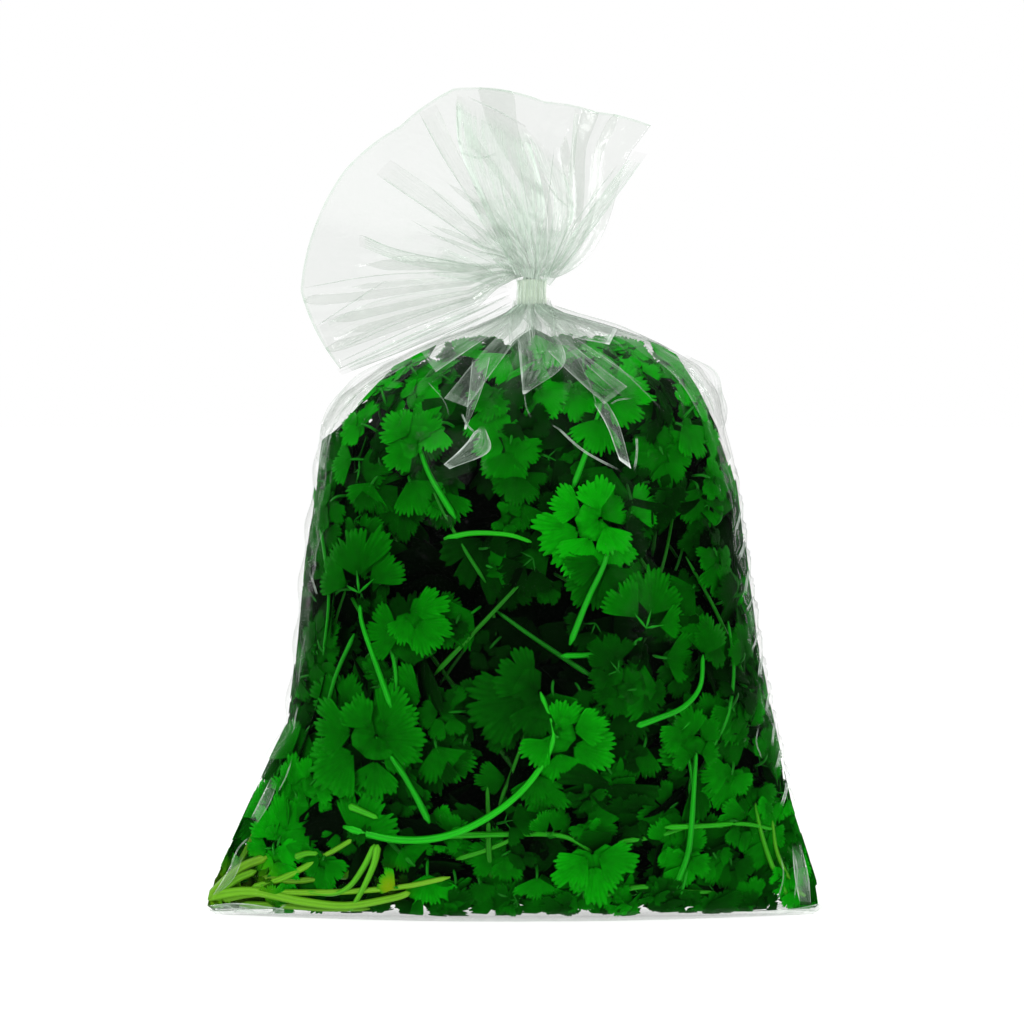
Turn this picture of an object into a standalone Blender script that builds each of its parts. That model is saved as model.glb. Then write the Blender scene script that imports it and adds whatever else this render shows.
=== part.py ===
"""Coriander bunch packed in a clear film bag, tied at the neck, standing on its base.

Metres, +Z up, origin at the middle of the base. The front faces -Y.
"""

import math

import bmesh
import bpy
from mathutils import Matrix, Vector

MM = 0.001

# The film bag. One row for each ring of the filled body, in millimetres: height, left side, right side,
# half the depth, and how far the two side folds are pinched (1 is an ellipse, 2 a pointed lens).
BODY_RINGS = [
    (0.0, -105.0, 105.0, 27.0, 2.2),
    (3.0, -109.0, 109.0, 32.0, 2.2),
    (12.0, -107.0, 107.5, 37.0, 2.0),
    (26.0, -100.5, 103.0, 42.0, 1.7),
    (40.0, -94.0, 98.5, 47.0, 1.5),
    (54.0, -87.5, 95.5, 51.5, 1.3),
    (68.0, -80.5, 92.5, 55.0, 1.1),
    (96.0, -77.0, 87.0, 57.0, 1.0),
    (124.0, -74.5, 83.0, 56.0, 1.0),
    (152.0, -70.5, 79.0, 52.5, 1.0),
    (170.0, -68.0, 74.0, 46.5, 1.0),
    (182.0, -60.0, 71.5, 38.5, 1.0),
    (192.0, -46.0, 65.0, 29.5, 1.0),
    (200.0, -29.0, 51.0, 20.5, 1.0),
    (206.5, -12.0, 32.0, 12.5, 1.0),
    (210.5, -2.5, 17.0, 7.5, 1.0),
]
RING_POINTS = 40
FILM_WALL = 0.5
FOLD_LIP = 0.9  # half the thickness of the film pressed together beside a side fold

# The gathered neck and the band that ties it.
NECK_X = 6.3
NECK_RADIUS = 4.2
NECK_BOTTOM = 213.5
NECK_TOP = 223.0
BAND_INNER_RADIUS = 4.6
BAND_OUTER_RADIUS = 5.4
BAND_BOTTOM = 214.3
BAND_TOP = 222.0
BAND_EDGE = 0.25

# The open end above the neck spreads into a flat fan. Each pair is a place on the mouth's edge seen from the
# top of the neck: degrees from +X towards +Z, and the distance.
FAN_CENTRE_Z = 221.0
MOUTH_EDGE = [
    (204.0, 73.5),
    (182.0, 81.0),
    (149.0, 76.5),
    (130.0, 71.5),
    (112.0, 73.0),
    (86.0, 63.5),
    (69.0, 64.0),
    (53.0, 69.0),
]
FAN_STEPS = [0.1, 0.2, 0.34, 0.52, 0.76, 1.0]
FAN_SPREAD_STEP = 0.4  # the left fold and the two layers are fully spread at this share of the way out
LEFT_FOLD_AT_NECK = 160.0
RIGHT_FOLD_AT_NECK = 25.0
FAN_PLEATS = 5
PLEAT_HEIGHT = 6.0
FAN_HALF_GAP = 1.3
NECK_HALF_GAP = 3.4
LIP_SHARE_AT_NECK = 0.7

# The herb. Each sprig is a stem with leaves along it, laid against the inside of the film: "stem" is its
# route as (x, height), "depth" how far its first leaf lies behind the film, and a leaf is the number of the
# route point it grows from, the way it points in degrees, and its length.
SPRIGS = [
    {
        "stem": [(-59, 33), (-40, 29), (-22, 31), (-5, 40), (7.5, 52.5), (13.5, 66.5), (9, 81)],
        "radius": 1.4,
        "depth": 4,
        "leaves": [(5, -35, 27), (6, 205, 31), (4, -85, 14)],
        "both_sides": True,
    },
    {
        "stem": [(-29, 30), (-5, 31), (16, 30.5), (27, 24.5)],
        "radius": 1.1,
        "depth": 10.5,
        "leaves": [(3, -80, 24)],
    },
    {
        "stem": [(42, 69), (48, 71), (58, 75), (64, 82), (65, 93)],
        "radius": 1.1,
        "depth": 4.5,
        "leaves": [(4, 75, 15)],
    },
    {
        "stem": [(55, 10), (60, 23), (61.5, 37), (62.3, 51), (62.7, 59)],
        "radius": 1.1,
        "depth": 5,
        "leaves": [(4, 100, 20), (1, -100, 18)],
        "both_sides": True,
    },
    {
        "stem": [(19, 97), (25, 112), (31, 125), (31.5, 133), (29.5, 140)],
        "radius": 1.1,
        "depth": 4,
        "leaves": [(4, 200, 28), (3, -75, 15), (4, 45, 13), (2, 240, 22)],
        "both_sides": True,
    },
    {
        "stem": [(-42, 75), (-47, 89), (-52, 103), (-53, 110)],
        "radius": 1.0,
        "depth": 5,
        "leaves": [(3, 95, 27)],
    },
    {
        "stem": [(-43, 79), (-41, 89), (-39, 100), (-36, 108)],
        "radius": 1.0,
        "depth": 13,
        "leaves": [(3, -45, 22), (2, 175, 16)],
        "both_sides": True,
    },
    {
        "stem": [(-29, 35), (-35, 47), (-42, 58), (-47.5, 65)],
        "radius": 1.2,
        "depth": 9,
        "leaves": [(3, 220, 34), (3, 55, 26)],
        "both_sides": True,
    },
    {
        "stem": [(16, 93), (27, 93.5), (39, 96), (44, 99)],
        "radius": 1.0,
        "depth": 14,
        "leaves": [(3, 70, 24)],
        "both_sides": True,
    },
    {
        "stem": [(-103, 5), (-89, 8), (-64, 9.5), (-40, 12), (-22, 16)],
        "radius": 1.3,
        "depth": 7,
        "leaves": [],
    },
    {
        "stem": [(-92, 9.5), (-80, 14), (-66, 22), (-55, 29)],
        "radius": 1.3,
        "depth": 10,
        "leaves": [(2, 250, 17), (3, 60, 20)],
    },
    {
        "stem": [(-60, 14), (-53, 19), (-48, 27), (-45, 37)],
        "radius": 1.2,
        "depth": 14,
        "leaves": [],
    },
    {
        "stem": [(20, 150), (26, 166), (31, 182)],
        "radius": 1.1,
        "depth": 6,
        "leaves": [(2, 20, 23)],
        "both_sides": True,
    },
    {
        "stem": [(-20, 140), (-29, 155), (-33, 166)],
        "radius": 1.1,
        "depth": 6,
        "leaves": [(2, 150, 22)],
    },
]
LEAF_HALF_THICKNESS = 0.2
LEAF_STEP = 1.1  # each next leaf of a sprig lies this much deeper
STEM_CLEARANCE = 0.7  # between the stem's side and the last leaf's plane
STEM_TIP_SHARE = 0.6  # the stem's tip is this share of its foot's radius
STEM_POINTS_A_SPAN = 3
PETIOLE_HALF_WIDTH = 0.6
LEAFLET_POINTS = 7  # tips and the notches between them
NOTCH_SHARE = 0.74  # a notch's distance from the leaflet's base, as a share of a tip's
BAND_STEPS = 28


def clear_scene():
    for thing in list(bpy.data.objects):
        bpy.data.objects.remove(thing)


def material(name, colour, roughness, alpha=1.0):
    made = bpy.data.materials.new(name)
    made.use_nodes = True
    shader = made.node_tree.nodes["Principled BSDF"]
    shader.inputs["Base Color"].default_value = (*colour, 1.0)
    shader.inputs["Roughness"].default_value = roughness
    shader.inputs["Metallic"].default_value = 0.0
    shader.inputs["Alpha"].default_value = alpha
    return made


def new_object(name, data, collection, finish):
    made = bpy.data.objects.new(name, data)
    data.materials.append(finish)
    collection.objects.link(made)
    return made


def between(low, high, share):
    return low + (high - low) * share


def smooth_step(share):
    share = min(1.0, max(0.0, share))
    return share * share * (3 - 2 * share)


# ---- the film bag ----


def ring_at(height):
    """Left side, right side, half depth and pinch of the filled bag at a height."""
    for low, high in zip(BODY_RINGS, BODY_RINGS[1:]):
        if height <= high[0]:
            share = max(0.0, (height - low[0]) / (high[0] - low[0]))
            return [between(a, b, share) for a, b in zip(low[1:], high[1:])]
    return list(BODY_RINGS[-1][1:])


def body_ring(height):
    left, right, half_depth, pinch = ring_at(height)
    middle, half_width = (left + right) / 2, (right - left) / 2
    points = []
    for number in range(RING_POINTS):
        turn = 2 * math.pi * number / RING_POINTS
        on_fold = number % (RING_POINTS // 2) == 0
        reach = 0.0 if on_fold else half_depth * abs(math.sin(turn)) ** pinch + FOLD_LIP
        points.append((middle - half_width * math.cos(turn), -math.copysign(reach, math.sin(turn)), height))
    return points


def neck_ring(height):
    turns = [2 * math.pi * number / RING_POINTS for number in range(RING_POINTS)]
    return [
        (NECK_X - NECK_RADIUS * math.cos(turn), -NECK_RADIUS * math.sin(turn), height) for turn in turns
    ]


def mouth_reach(angle):
    """Distance of the mouth's edge from the top of the neck, in the direction of this angle."""
    for (angle_a, reach_a), (angle_b, reach_b) in zip(MOUTH_EDGE, MOUTH_EDGE[1:]):
        if angle >= angle_b:
            share = (angle_a - angle) / (angle_a - angle_b)
            start = Vector((math.cos(math.radians(angle_a)), math.sin(math.radians(angle_a)))) * reach_a
            end = Vector((math.cos(math.radians(angle_b)), math.sin(math.radians(angle_b)))) * reach_b
            return start.lerp(end, min(1.0, max(0.0, share))).length
    return MOUTH_EDGE[-1][1]


def fan_ring(step):
    """A ring of the fan at this share of the way from the neck to the mouth."""
    first, last = MOUTH_EDGE[0][0], MOUTH_EDGE[-1][0]
    spread = smooth_step(step / FAN_SPREAD_STEP)
    left_fold = between(LEFT_FOLD_AT_NECK, first, spread)
    right_fold = between(RIGHT_FOLD_AT_NECK, last, step)
    points = []
    for number in range(RING_POINTS):
        turn = 2 * math.pi * number / RING_POINTS
        across = (1 - math.cos(turn)) / 2
        angle = between(left_fold, right_fold, across)
        reach = step * mouth_reach(between(first, last, across))
        on_fold = number % (RING_POINTS // 2) == 0
        gap = between(NECK_HALF_GAP, FAN_HALF_GAP, spread) * abs(math.sin(turn))
        gap = 0.0 if on_fold else gap + FOLD_LIP * between(LIP_SHARE_AT_NECK, 1.0, step)
        pleat = PLEAT_HEIGHT * step * math.sin(2 * math.pi * FAN_PLEATS * across) * math.sin(math.pi * across)
        points.append(
            (
                NECK_X + reach * math.cos(math.radians(angle)),
                pleat - math.copysign(gap, math.sin(turn)),
                FAN_CENTRE_Z + reach * math.sin(math.radians(angle)),
            )
        )
    return points


def make_bag(collection, finish):
    """The whole bag is one film: base, filled body, gathered neck and open fan, lofted ring by ring."""
    rings = [body_ring(row[0]) for row in BODY_RINGS]
    rings += [neck_ring(NECK_BOTTOM), neck_ring(NECK_TOP)]
    rings += [fan_ring(step) for step in FAN_STEPS]
    shape = bmesh.new()
    loops = [[shape.verts.new(Vector(point) * MM) for point in ring] for ring in rings]
    for lower, upper in zip(loops, loops[1:]):
        for number in range(RING_POINTS):
            after = (number + 1) % RING_POINTS
            shape.faces.new((lower[number], lower[after], upper[after], upper[number]))
    base, half = loops[0], RING_POINTS // 2
    shape.faces.new((base[0], base[RING_POINTS - 1], base[1]))
    for number in range(1, half - 1):
        front, back = number, RING_POINTS - number
        shape.faces.new((base[front], base[back], base[back - 1], base[front + 1]))
    shape.faces.new((base[half - 1], base[half + 1], base[half]))
    mesh = bpy.data.meshes.new("bag")
    shape.to_mesh(mesh)
    shape.free()
    bag = new_object("bag", mesh, collection, finish)
    wall = bag.modifiers.new("film wall", "SOLIDIFY")
    wall.thickness = FILM_WALL * MM
    wall.offset = -1
    return bag


def make_band(collection, finish):
    """The clear band wound round the neck: a turned ring with softened edges."""
    profile = [
        (BAND_OUTER_RADIUS - BAND_EDGE, BAND_TOP),
        (BAND_OUTER_RADIUS, BAND_TOP - BAND_EDGE),
        (BAND_OUTER_RADIUS, BAND_BOTTOM + BAND_EDGE),
        (BAND_OUTER_RADIUS - BAND_EDGE, BAND_BOTTOM),
        (BAND_INNER_RADIUS, BAND_BOTTOM),
        (BAND_INNER_RADIUS, BAND_TOP),
    ]
    shape = bmesh.new()
    corners = [shape.verts.new((radius * MM, 0, height * MM)) for radius, height in profile]
    for corner, after in zip(corners, corners[1:] + corners[:1]):
        shape.edges.new((corner, after))
    mesh = bpy.data.meshes.new("neck_band")
    shape.to_mesh(mesh)
    shape.free()
    band = new_object("neck_band", mesh, collection, finish)
    band.location = (NECK_X * MM, 0, 0)
    turned = band.modifiers.new("turned", "SCREW")
    turned.steps = turned.render_steps = BAND_STEPS
    turned.use_merge_vertices = True
    turned.merge_threshold = 0.00001
    return band


# ---- the herb ----


def film_depth(x, height):
    """How far in front of the middle plane the film is, at this place."""
    left, right, half_depth, pinch = ring_at(height)
    across = (x - (left + right) / 2) / ((right - left) / 2)
    return half_depth * max(0.0, 1 - across * across) ** (pinch / 2) + FOLD_LIP


def on_film(x, height, side, depth):
    """A point this far behind the film; side is -1 on the front and 1 on the back."""
    return Vector((x, side * max(0.0, film_depth(x, height) - depth), height))


def other_side(x, height):
    left, right, _, _ = ring_at(height)
    return left + right - x


def smooth_route(points):
    """Points along a Catmull-Rom curve through the given ones."""
    ends = [points[0] * 2 - points[1], *points, points[-1] * 2 - points[-2]]
    route = []
    for a, b, c, d in zip(ends, ends[1:], ends[2:], ends[3:]):
        for number in range(STEM_POINTS_A_SPAN):
            t = number / STEM_POINTS_A_SPAN
            route.append(
                (b * 2 + (c - a) * t + (a * 2 - b * 5 + c * 4 - d) * t**2 + (b * 3 - a - c * 3 + d) * t**3) / 2
            )
    return [*route, points[-1]]


def make_stem(name, points, radius, collection, finish):
    curve = bpy.data.curves.new(name, "CURVE")
    curve.dimensions = "3D"
    curve.bevel_depth = radius * MM
    curve.bevel_resolution = 1
    curve.use_fill_caps = True
    route = smooth_route(points)
    spline = curve.splines.new("POLY")
    spline.points.add(len(route) - 1)
    for number, (place, point) in enumerate(zip(spline.points, route)):
        place.co = (*(point * MM), 1)
        place.radius = between(1.0, STEM_TIP_SHARE, number / (len(route) - 1))
    return new_object(name, curve, collection, finish)


def leaflet(base, direction, spread, length):
    """The four pointed lobes of one leaflet, from its right edge to its left."""
    points = []
    for number in range(LEAFLET_POINTS):
        angle = math.radians(direction + between(-spread, spread, number / (LEAFLET_POINTS - 1)))
        reach = length if number % 2 == 0 else length * NOTCH_SHARE
        points.append((base[0] + reach * math.cos(angle), base[1] + reach * math.sin(angle)))
    return points


def leaf_outline(length):
    """A leaf of three leaflets on a short stalk, which starts at the origin and points along +Y."""
    foot, top = (PETIOLE_HALF_WIDTH, 0), (PETIOLE_HALF_WIDTH, 0.3 * length)
    corner = (0.05 * length, 0.44 * length)  # between a side leaflet and the middle one
    side = leaflet((0, 0.34 * length), 10, 40, 0.46 * length)
    middle = leaflet((0, 0.38 * length), 90, 28, 0.62 * length)
    right = [foot, top, *side, corner]
    left = [(-x, y) for x, y in reversed(right)]
    return [*right, *middle, *left]


def leaf_frame(x, height, side, depth, angle, length):
    """Places a leaf that grows from (x, height), flat against the film."""
    way = math.radians(angle)
    centre_x, centre_z = x + length / 2 * math.cos(way), height + length / 2 * math.sin(way)
    here = on_film(centre_x, centre_z, side, 0)
    along_x = (on_film(centre_x + 1, centre_z, side, 0) - on_film(centre_x - 1, centre_z, side, 0)) / 2
    along_z = (on_film(centre_x, centre_z + 1, side, 0) - on_film(centre_x, centre_z - 1, side, 0)) / 2
    points_to = (along_x * math.cos(way) + along_z * math.sin(way)).normalized()
    outward = (along_x.cross(along_z) * -side).normalized()
    across = points_to.cross(outward).normalized()
    place = (here - outward * depth - points_to * length / 2) * MM
    turned = Matrix((across, points_to, outward)).transposed().to_4x4()
    return Matrix.Translation(place) @ turned


def make_leaf(name, frame, length, collection, finish):
    curve = bpy.data.curves.new(name, "CURVE")
    curve.dimensions = "2D"
    curve.fill_mode = "BOTH"
    curve.extrude = LEAF_HALF_THICKNESS * MM
    outline = leaf_outline(length)
    spline = curve.splines.new("POLY")
    spline.points.add(len(outline) - 1)
    spline.use_cyclic_u = True
    for place, (x, y) in zip(spline.points, outline):
        place.co = (x * MM, y * MM, 0, 1)
    leaf = new_object(name, curve, collection, finish)
    leaf.matrix_world = frame
    return leaf


def make_sprig(label, sprig, side, collection, stem_finish, leaf_finish):
    places = sprig["stem"]
    if side > 0:
        places = [(other_side(x, height), height) for x, height in places]
    behind = sprig["depth"] + LEAF_STEP * len(sprig["leaves"]) + sprig["radius"] + STEM_CLEARANCE
    route = [on_film(x, height, side, behind) for x, height in places]
    make_stem(f"stem_{label}", route, sprig["radius"], collection, stem_finish)
    for number, (point, angle, length) in enumerate(sprig["leaves"]):
        x, height = places[point]
        depth = sprig["depth"] + LEAF_STEP * number
        frame = leaf_frame(x, height, side, depth, angle if side < 0 else 180 - angle, length)
        make_leaf(f"leaf_{label}_{'abcd'[number]}", frame, length, collection, leaf_finish)


def main():
    clear_scene()
    collection = bpy.data.collections.new("coriander bunch")
    bpy.context.scene.collection.children.link(collection)
    film = material("clear film", (0.86, 0.92, 0.87), 0.15, 0.3)
    band = material("clear band", (0.78, 0.86, 0.76), 0.3, 0.8)
    leaf_green = material("leaf green", (0.01, 0.3, 0.01), 0.5)
    stem_green = material("stem green", (0.09, 0.34, 0.02), 0.4)
    make_bag(collection, film)
    make_band(collection, band)
    for number, sprig in enumerate(SPRIGS, start=1):
        make_sprig(f"{number:02d}_front", sprig, -1, collection, stem_green, leaf_green)
        if sprig.get("both_sides"):
            make_sprig(f"{number:02d}_back", sprig, 1, collection, stem_green, leaf_green)


main()
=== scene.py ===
import math
import random

import bpy
import numpy as np
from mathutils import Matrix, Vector


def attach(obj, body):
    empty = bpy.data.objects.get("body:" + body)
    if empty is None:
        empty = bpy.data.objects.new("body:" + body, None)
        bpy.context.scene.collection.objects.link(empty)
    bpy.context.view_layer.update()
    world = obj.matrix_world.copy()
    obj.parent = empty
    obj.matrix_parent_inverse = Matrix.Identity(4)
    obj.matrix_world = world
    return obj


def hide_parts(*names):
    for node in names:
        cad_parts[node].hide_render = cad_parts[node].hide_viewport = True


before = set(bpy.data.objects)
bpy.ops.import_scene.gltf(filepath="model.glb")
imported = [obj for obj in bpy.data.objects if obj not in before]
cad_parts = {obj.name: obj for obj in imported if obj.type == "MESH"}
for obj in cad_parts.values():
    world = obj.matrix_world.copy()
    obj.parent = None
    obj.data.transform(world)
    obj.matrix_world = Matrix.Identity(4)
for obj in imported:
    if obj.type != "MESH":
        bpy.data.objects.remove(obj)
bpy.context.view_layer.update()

mm = 0.001
print("frame loaded:", len(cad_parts), "nodes")

# Shape of the filled bag, as in the frame: height, left side, right side, half depth, pinch of the side folds
bodyRings = np.array([
    (0, -105, 105, 27, 2.2), (3, -109, 109, 32, 2.2), (12, -107, 107.5, 37, 2.0),
    (26, -100.5, 103, 42, 1.7), (40, -94, 98.5, 47, 1.5), (54, -87.5, 95.5, 51.5, 1.3),
    (68, -80.5, 92.5, 55, 1.1), (96, -77, 87, 57, 1.0), (124, -74.5, 83, 56, 1.0),
    (152, -70.5, 79, 52.5, 1.0), (170, -68, 74, 46.5, 1.0), (182, -60, 71.5, 38.5, 1.0),
    (192, -46, 65, 29.5, 1.0), (200, -29, 51, 20.5, 1.0), (206.5, -12, 32, 12.5, 1.0),
    (210.5, -2.5, 17, 7.5, 1.0), (213.5, 2.1, 10.5, 4.2, 1.0),
])
foldLip = 0.9
neckX, neckRadius, neckBottom, neckTop = 6.3, 4.2, 213.5, 223.0
fanCentre = 221.0
# The mouth's edge seen from the top of the neck: degrees from +X towards +Z, distance
mouthEdge = np.array([
    (204, 73.5), (182, 81), (149, 76.5), (130, 71.5), (112, 73), (86, 63.5), (69, 64), (53, 69),
])


def mix(low, high, share):
    return low + (high - low) * share


def smoothStep(share):
    share = np.clip(share, 0.0, 1.0)
    return share * share * (3 - 2 * share)


def ringAt(height):
    return [np.interp(height, bodyRings[:, 0], bodyRings[:, n]) for n in (1, 2, 3, 4)]


def mirrored(x, height):
    # the place on the back that answers to one on the front
    left, right, _, _ = ringAt(height)
    return left + right - x


def filmDepth(x, height):
    left, right, depth, pinch = ringAt(height)
    across = np.clip((x - (left + right) / 2) / ((right - left) / 2), -1, 1)
    return depth * np.maximum(1 - across**2, 0) ** (pinch / 2) + foldLip


def shellPoint(turn, height, inset):
    # a place this far inside the film; turn 0 is the left fold, a quarter turn is the front
    left, right, depth, pinch = ringAt(height)
    middle, halfWidth = (left + right) / 2, (right - left) / 2
    sine = np.sin(turn)
    x = middle - np.maximum(halfWidth - inset * 0.6, 1) * np.cos(turn)
    y = -np.sign(sine) * np.maximum(depth - inset, 1) * np.abs(sine) ** pinch
    return np.stack(np.broadcast_arrays(x, y, np.asarray(height, float)), -1)


# The top of the heap of leaves inside the bag, seen from the front: x, height
heapTop = np.array([(-72, 158), (-62, 166), (-52, 177), (-42, 188), (-20, 199), (5, 204), (30, 203),
                    (45, 201), (56, 193), (64, 180), (72, 164), (80, 150)])


def keepInside(points, clearance):
    # leaves press flat against the film and never pass it
    x, y, z = points.T
    z = np.clip(z, clearance, np.interp(x, heapTop[:, 0], heapTop[:, 1]) + 4)
    left, right, _, _ = ringAt(z)
    x = np.clip(x, left + clearance + 0.3, right - clearance - 0.3)
    limit = np.maximum(filmDepth(x, z) - clearance, 0.05)
    return np.stack((x, np.clip(y, -limit, limit), z), -1)


def newMaterial(name):
    made = bpy.data.materials.new(name)
    made.use_nodes = True
    return made, made.node_tree, made.node_tree.nodes["Principled BSDF"]


def setInputs(tree, node, inputs):
    # an output is linked, anything else is set on the socket itself
    for key, value in inputs.items():
        socket = node.inputs[key]
        if isinstance(value, bpy.types.NodeSocket):
            tree.links.new(value, socket)
        elif isinstance(value, tuple) and socket.type == "RGBA":
            socket.default_value = (*value, 1.0)
        else:
            socket.default_value = value


def addNode(tree, kind, inputs=None, output=0, **settings):
    node = tree.nodes.new(kind)
    for key, value in settings.items():
        setattr(node, key, value)
    setInputs(tree, node, inputs or {})
    return node.outputs[output]


def mathNode(tree, operation, *values, clamp=False):
    return addNode(tree, "ShaderNodeMath", dict(enumerate(values)), operation=operation, use_clamp=clamp)


def colourMix(tree, factor, low, high):
    return addNode(tree, "ShaderNodeMix", {0: factor, 6: low, 7: high}, 2, data_type="RGBA")


def attribute(tree, name):
    return addNode(tree, "ShaderNodeAttribute", output="Fac", attribute_name=name)


def noise(tree, where, scale, detail, roughness=0.5, distortion=0.0):
    return addNode(tree, "ShaderNodeTexNoise", {
        "Vector": where, "Scale": scale, "Detail": detail, "Roughness": roughness, "Distortion": distortion,
    }, "Fac")


def bumped(tree, height, strength, distance):
    return addNode(tree, "ShaderNodeBump", {"Height": height, "Strength": strength, "Distance": distance})


def objectPlace(tree):
    return addNode(tree, "ShaderNodeTexCoord", output="Object")


def setSurface(tree, surface):
    tree.links.new(surface, tree.nodes["Material Output"].inputs["Surface"])


leafFinish = {
    "dark": (0.0001, 0.0022, 0.0001), "bright": (0.0024, 0.32, 0.002), "tip": (0.010, 0.42, 0.008),
    "olive": (0.22, 0.34, 0.004), "roughness": 0.6, "specular": 0.008, "glow": 0.08,
    "streaks": 1.5, "grain": 1.0,
}


def leafMaterial(name, finish):
    made, tree, shader = newMaterial(name)
    tone, vein, edge, ripe = (attribute(tree, word) for word in ("tone", "vein", "edge", "ripe"))
    where = objectPlace(tree)
    grain = noise(tree, where, 420.0, 4.0, 0.6)
    patches = noise(tree, where, 70.0, 2.0)
    fanwise, outwise = attribute(tree, "fanwise"), attribute(tree, "outwise")
    streaks = noise(tree, addNode(tree, "ShaderNodeCombineXYZ", {0: fanwise, 1: outwise}), 1.5, 3.0, 0.7)
    mottle = mathNode(tree, "MULTIPLY_ADD", streaks, finish["streaks"], 1 - finish["streaks"] / 2)
    drift = mathNode(tree, "MULTIPLY_ADD", patches, 0.5, 0.78)
    ribs = mathNode(tree, "MULTIPLY_ADD", vein, 0.22, 0.84)
    speckle = mathNode(tree, "MULTIPLY_ADD", grain, finish["grain"], 1 - finish["grain"] / 2)
    drift = mathNode(tree, "MULTIPLY", drift, speckle)
    # tone holds each leaf's own tone together with painted shade that darkens the deeper leaves
    lit = mathNode(tree, "MULTIPLY", mathNode(tree, "MULTIPLY", tone, ribs), mottle)
    lit = mathNode(tree, "MULTIPLY", lit, drift, clamp=True)
    green = colourMix(tree, lit, finish["dark"], colourMix(tree, ripe, finish["bright"], finish["olive"]))
    rim = mathNode(tree, "MULTIPLY", mathNode(tree, "MULTIPLY", edge, tone), 0.45)
    green = colourMix(tree, rim, green, finish["tip"])
    setInputs(tree, shader, {
        "Base Color": green, "Roughness": finish["roughness"], "Specular IOR Level": finish["specular"],
        "Normal": bumped(tree, mathNode(tree, "ADD", grain, streaks), 0.35, 0.0004),
    })
    through = addNode(tree, "ShaderNodeBsdfTranslucent", {"Color": green})
    blend = {0: finish["glow"], 1: shader.outputs[0], 2: through}
    setSurface(tree, addNode(tree, "ShaderNodeMixShader", blend))
    return made


stemFinish = {
    "dark": (0.0006, 0.030, 0.0006), "bright": (0.006, 0.46, 0.006),
    "pale": (0.17, 0.42, 0.016), "roughness": 0.45, "specular": 0.10,
}


def stemMaterial(name, finish):
    made, tree, shader = newMaterial(name)
    tone, ripe, line = (attribute(tree, word) for word in ("tone", "ripe", "vein"))
    patches = noise(tree, objectPlace(tree), 90.0, 3.0)
    stripes = mathNode(tree, "MULTIPLY_ADD", line, 0.35, 0.72)
    drift = mathNode(tree, "MULTIPLY_ADD", patches, 0.6, 0.72)
    lit = mathNode(tree, "MULTIPLY", mathNode(tree, "MULTIPLY", tone, stripes), drift, clamp=True)
    full = colourMix(tree, ripe, finish["bright"], finish["pale"])
    setInputs(tree, shader, {
        "Base Color": colourMix(tree, lit, finish["dark"], full), "Roughness": finish["roughness"],
        "Specular IOR Level": finish["specular"], "Normal": bumped(tree, line, 0.3, 0.0005),
    })
    return made


leafGreen = leafMaterial("coriander leaf", leafFinish)
stemGreen = stemMaterial("coriander stem", stemFinish)
print("leaf and stem finishes made")

# What each point of the herb carries for its finish
pileValues = ("tone", "vein", "edge", "ripe", "fanwise", "outwise")


def newPile():
    return {"points": [], "faces": [], "count": 0, **{key: [] for key in pileValues}}


def addToPile(pile, points, faces, **values):
    pile["points"].append(points)
    pile["faces"].append(np.asarray(faces) + pile["count"])
    for key in pileValues:
        pile[key].append(np.broadcast_to(np.asarray(values.get(key, 0.0), float), len(points)))
    pile["count"] += len(points)


def meshObject(name, points, faces, values, finish):
    # values holds one number for each point under each name that the finish reads
    mesh = bpy.data.meshes.new(name)
    mesh.from_pydata((points * mm).tolist(), [], faces)
    for key, numbers in values.items():
        mesh.attributes.new(key, "FLOAT", "POINT").data.foreach_set("value", numbers.astype(np.float32))
    mesh.shade_smooth()
    mesh.materials.append(finish)
    made = bpy.data.objects.new(name, mesh)
    bpy.context.scene.collection.objects.link(made)
    return made


def pileObject(name, pile, finish, replaced=(), thickness=0.0):
    if not pile["points"]:
        return
    values = {key: np.concatenate(pile[key]) for key in pileValues}
    faces = np.concatenate(pile["faces"]).tolist()
    made = meshObject(name, np.concatenate(pile["points"]), faces, values, finish)
    if thickness:
        wall = made.modifiers.new("blade thickness", "SOLIDIFY")
        wall.thickness = thickness * mm
        wall.offset = 0
    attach(made, "root")
    if replaced:
        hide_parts(*replaced)


def gridFaces(rows, columns, closed=False):
    faces = []
    for row in range(rows - 1):
        for column in range(columns if closed else columns - 1):
            after = (column + 1) % columns
            a, b = row * columns + column, row * columns + after
            faces.append((a, b, b + columns, a + columns))
    return faces


def smoothRoute(points, steps):
    # Catmull-Rom curve through the points
    points = np.asarray(points, float)
    ends = np.vstack((2 * points[0] - points[1], points, 2 * points[-1] - points[-2]))
    route = []
    for a, b, c, d in zip(ends, ends[1:], ends[2:], ends[3:]):
        for t in np.arange(steps) / steps:
            route.append((2 * b + (c - a) * t + (2 * a - 5 * b + 4 * c - d) * t**2
                          + (3 * b - a - 3 * c + d) * t**3) / 2)
    return np.array([*route, points[-1]])


stemShape = {"sides": 10, "ridges": 5, "ridgeHeight": 0.09, "tipShare": 0.62, "steps": 6}


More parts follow.
